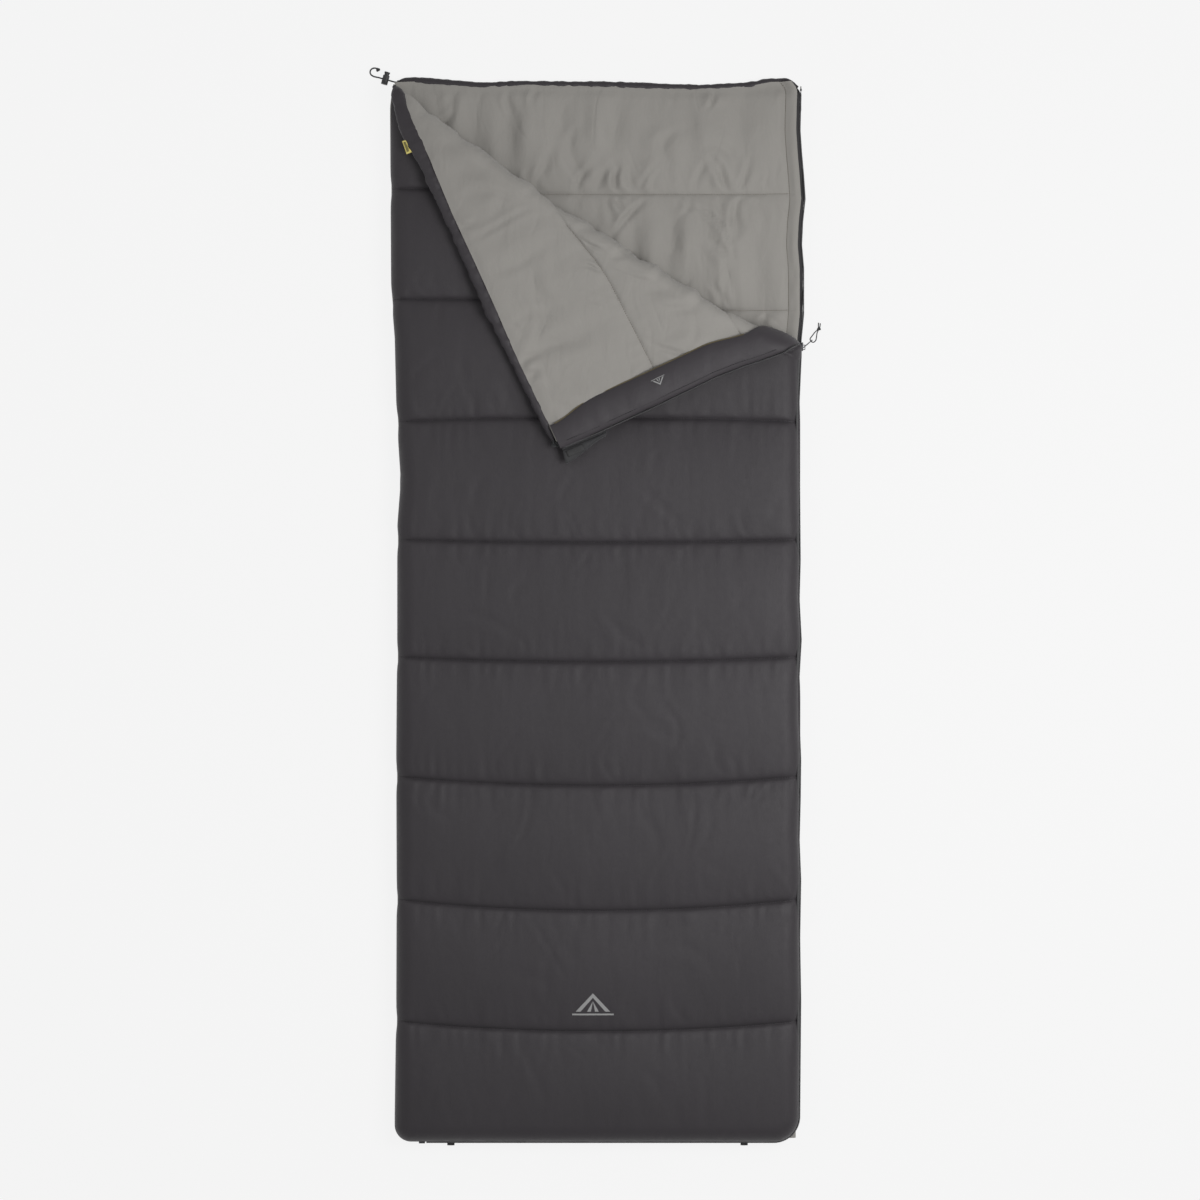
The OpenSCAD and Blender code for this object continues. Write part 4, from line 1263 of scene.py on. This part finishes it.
def closing_tab():
    """Tape that folds over the slider; it is widest at the head and hangs a little."""
    root_x, width, low, level = 0.4052, 0.026, 0.938, 0.046
    y = np.linspace(low, 1.031, 22)[:, None]
    t = np.linspace(0, 1, 12)[None, :]
    x = root_x + t * (0.007 + 0.019 * ease((y - low) / 0.09))
    z = level - 0.002 * np.sin(t * math.pi) + 0.0012 * ripple(y / 0.02, t * 2, 121) + 0.003 * t ** 2
    tab = folded_line(flap_shape(np.stack([x, y + 0.004 * t, z], -1)), 0.0)
    tab = patch("closing_tab_tape", tab, 0.0012, webbing_cloth)
    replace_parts(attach(tab, "closing_tab"), "closing_tab")
    root_t = np.linspace(0, 1, 6)[None, :]
    root = np.stack([0.3985 + 0.0062 * root_t + 0 * y, y + 0 * root_t, level - 0.0002 + 0 * y + 0 * root_t], -1)
    root = patch("closing_tab_seam", folded_line(flap_shape(root), 0.0), 0.001, webbing_cloth)
    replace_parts(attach(root, "flap"), "tab_root")
    y = np.linspace(0.990, 1.026, 10)[:, None]
    x = 0.4085 + t * 0.013 + 0 * y
    share = (x - root_x) / width
    z = level - 0.0016 - 0.002 * np.sin(share * math.pi) + 0.003 * share ** 2
    hooks = folded_line(flap_shape(np.stack([x, y + 0 * t, z], -1)), 0.0)
    hooks = patch("closing_tab_hooks", hooks, 0.001, hook_plastic)
    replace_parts(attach(hooks, "closing_tab"), "tab_hook_patch")


closing_tab()
tube_binding()


def loop_patch():
    low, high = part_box("tab_loop_patch")
    y = np.linspace(low.y, high.y, 24)[:, None]
    z = np.linspace(low.z, high.z, 8)[None, :]
    x = (low.x + high.x) / 2 + 0.0003 * ripple(y / 0.004, z / 0.004, 131)
    piece = patch("zip_end_loops", np.stack([x, y + 0 * z, z + 0 * y], -1), 0.0011, hook_plastic)
    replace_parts(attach(piece, "bag"), "tab_loop_patch")


loop_patch()


def side_label():
    """A small folded label: a yellow border round an olive panel, with nothing written on it."""
    def piece(name, x, t, lift, thickness, material):
        x, t = x[None, :], t[:, None]
        curl = 0.0012 * np.sin(t * 2.4) + 0.0003 * ripple(x / 0.006, t * 2, 141) + lift
        flat = np.stack([x + 0 * t, 1.0625 + 0.0135 * t + 0 * x, TOP_HEM_Z - 0.0004 - curl], -1)
        flat = folded_line(flap_shape(flat), 0.0)
        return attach(patch(name, flat, thickness, material, flip=True), "flap")

    label = piece("side_label_tape", np.linspace(-0.274, -0.246, 15), np.linspace(0, 1, 9), 0, 0.0009, label_yellow)
    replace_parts(label, "side_label")
    piece("side_label_panel", np.linspace(-0.2705, -0.2495, 11), np.linspace(0.48, 0.86, 7), 0.0005, 0.0003,
          label_olive)


side_label()


def hang_loop(name):
    """Webbing folded into a loop, with its end sewn to the foot."""
    low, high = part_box(name)
    middle, half, thick = (low + high) / 2, (high.z - low.z) / 2, 0.0012
    bend = half - thick / 2
    a = np.linspace(-math.pi / 2, math.pi / 2, 12)
    outer = [(low.y + half - bend * math.cos(v), middle.z + bend * math.sin(v)) for v in a]
    inner = [(high.y - half + bend * math.cos(v), middle.z - bend * math.sin(v)) for v in a]
    line = np.array(outer + inner + outer[:1])
    x = np.linspace(low.x, high.x, 9)[None, :]
    bulge = 0.0003 * np.cos((x - middle.x) / (high.x - low.x) * math.pi)
    across = unit(line - [middle.y, middle.z])
    points = np.stack([x + 0 * line[:, :1], line[:, :1] + across[:, :1] * bulge,
                       line[:, 1:] + across[:, 1:] * bulge], -1)
    piece = patch(name + "_webbing", points, thick, webbing_cloth)
    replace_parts(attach(piece, name), name)


hang_loop("hang_loop_left")
hang_loop("hang_loop_right")


# ---------- Printed marks ----------

def on_surface(sheet, points, x, y):
    """Height of a laid-out sheet at plan places x, y."""
    rows = points[..., 1][:, sheet.columns // 2]
    columns = points[sheet.rows // 2, :, 0]
    heights = points[..., 2]
    v = np.interp(y, rows, np.arange(sheet.rows))
    u = np.interp(x, columns, np.arange(sheet.columns))
    i, j = np.clip(v.astype(int), 0, sheet.rows - 2), np.clip(u.astype(int), 0, sheet.columns - 2)
    a, b = v - i, u - j
    return ((heights[i, j] * (1 - b) + heights[i, j + 1] * b) * (1 - a)
            + (heights[i + 1, j] * (1 - b) + heights[i + 1, j + 1] * b) * a)


# A plain sign for camping: a ridge tent with an open door, standing on a ground line
TENT_MARK = [
    [(-1.0, -0.45), (0.0, 0.62), (0.0, 0.36), (-0.72, -0.45)],
    [(1.0, -0.45), (0.72, -0.45), (0.0, 0.36), (0.0, 0.62)],
    [(0.0, 0.16), (-0.34, -0.45), (-0.12, -0.45)],
    [(0.0, 0.16), (0.12, -0.45), (0.34, -0.45)],
    [(-1.2, -0.56), (-1.2, -0.66), (1.2, -0.66), (1.2, -0.56)],
]


def subdivided(outline, levels):
    """Triangles of an outline's fan, split into smaller ones so that they can follow a surface."""
    corners = np.array(outline, float)
    triangles = [(corners[0], corners[k], corners[k + 1]) for k in range(1, len(corners) - 1)]
    for _ in range(levels):
        split = []
        for a, b, c in triangles:
            ab, bc, ca = (a + b) / 2, (b + c) / 2, (c + a) / 2
            split += [(a, ab, ca), (ab, b, bc), (ca, bc, c), (ab, bc, ca)]
        triangles = split
    return np.array(triangles)


def printed(name, size, place, body):
    """The tent mark as thin ink. place(u, v) gives the places of its points."""
    triangles = np.concatenate([subdivided(outline, 3) for outline in TENT_MARK]).reshape(-1, 2) * size
    places, numbers = np.unique(np.round(triangles, 7), axis=0, return_inverse=True)
    points = place(places[:, 0], places[:, 1])
    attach(add_mesh(name, points, numbers.reshape(-1, 3), mark_ink), body)


def foot_place(u, v):
    x, y = u - 0.009, v - 0.775
    return np.stack([x, y, on_surface(shell_sheet, shell_flat, x, y) + 0.0005], -1)


def tube_mark_place(u, v):
    x, y = 0.360 + v, 0.805 - u
    points = tube_place(y, tube_angle(x, y)) - [0, 0, 0.0004]
    return fold_over(points, LINING_GAP)


printed("foot_mark", 0.034, foot_place, "top_quilt")
printed("flap_tube_mark", 0.012, tube_mark_place, "flap")


# ---------- Kept CAD parts ----------

for material, nodes in ((slider_paint, ("slider_body", "slider_crown", "pull_tab")),
                        (lock_plastic, ("lock_barrel", "lock_button")),
                        (coil_plastic, ("bottom_zip_stop", "flap_zip_stop", "zip_box", "zip_pin")),
                        (spring_steel, ("lock_spring",))):
    for node in nodes:
        slots = frame["nodes"][node].data.materials
        slots.clear()
        slots.append(material)
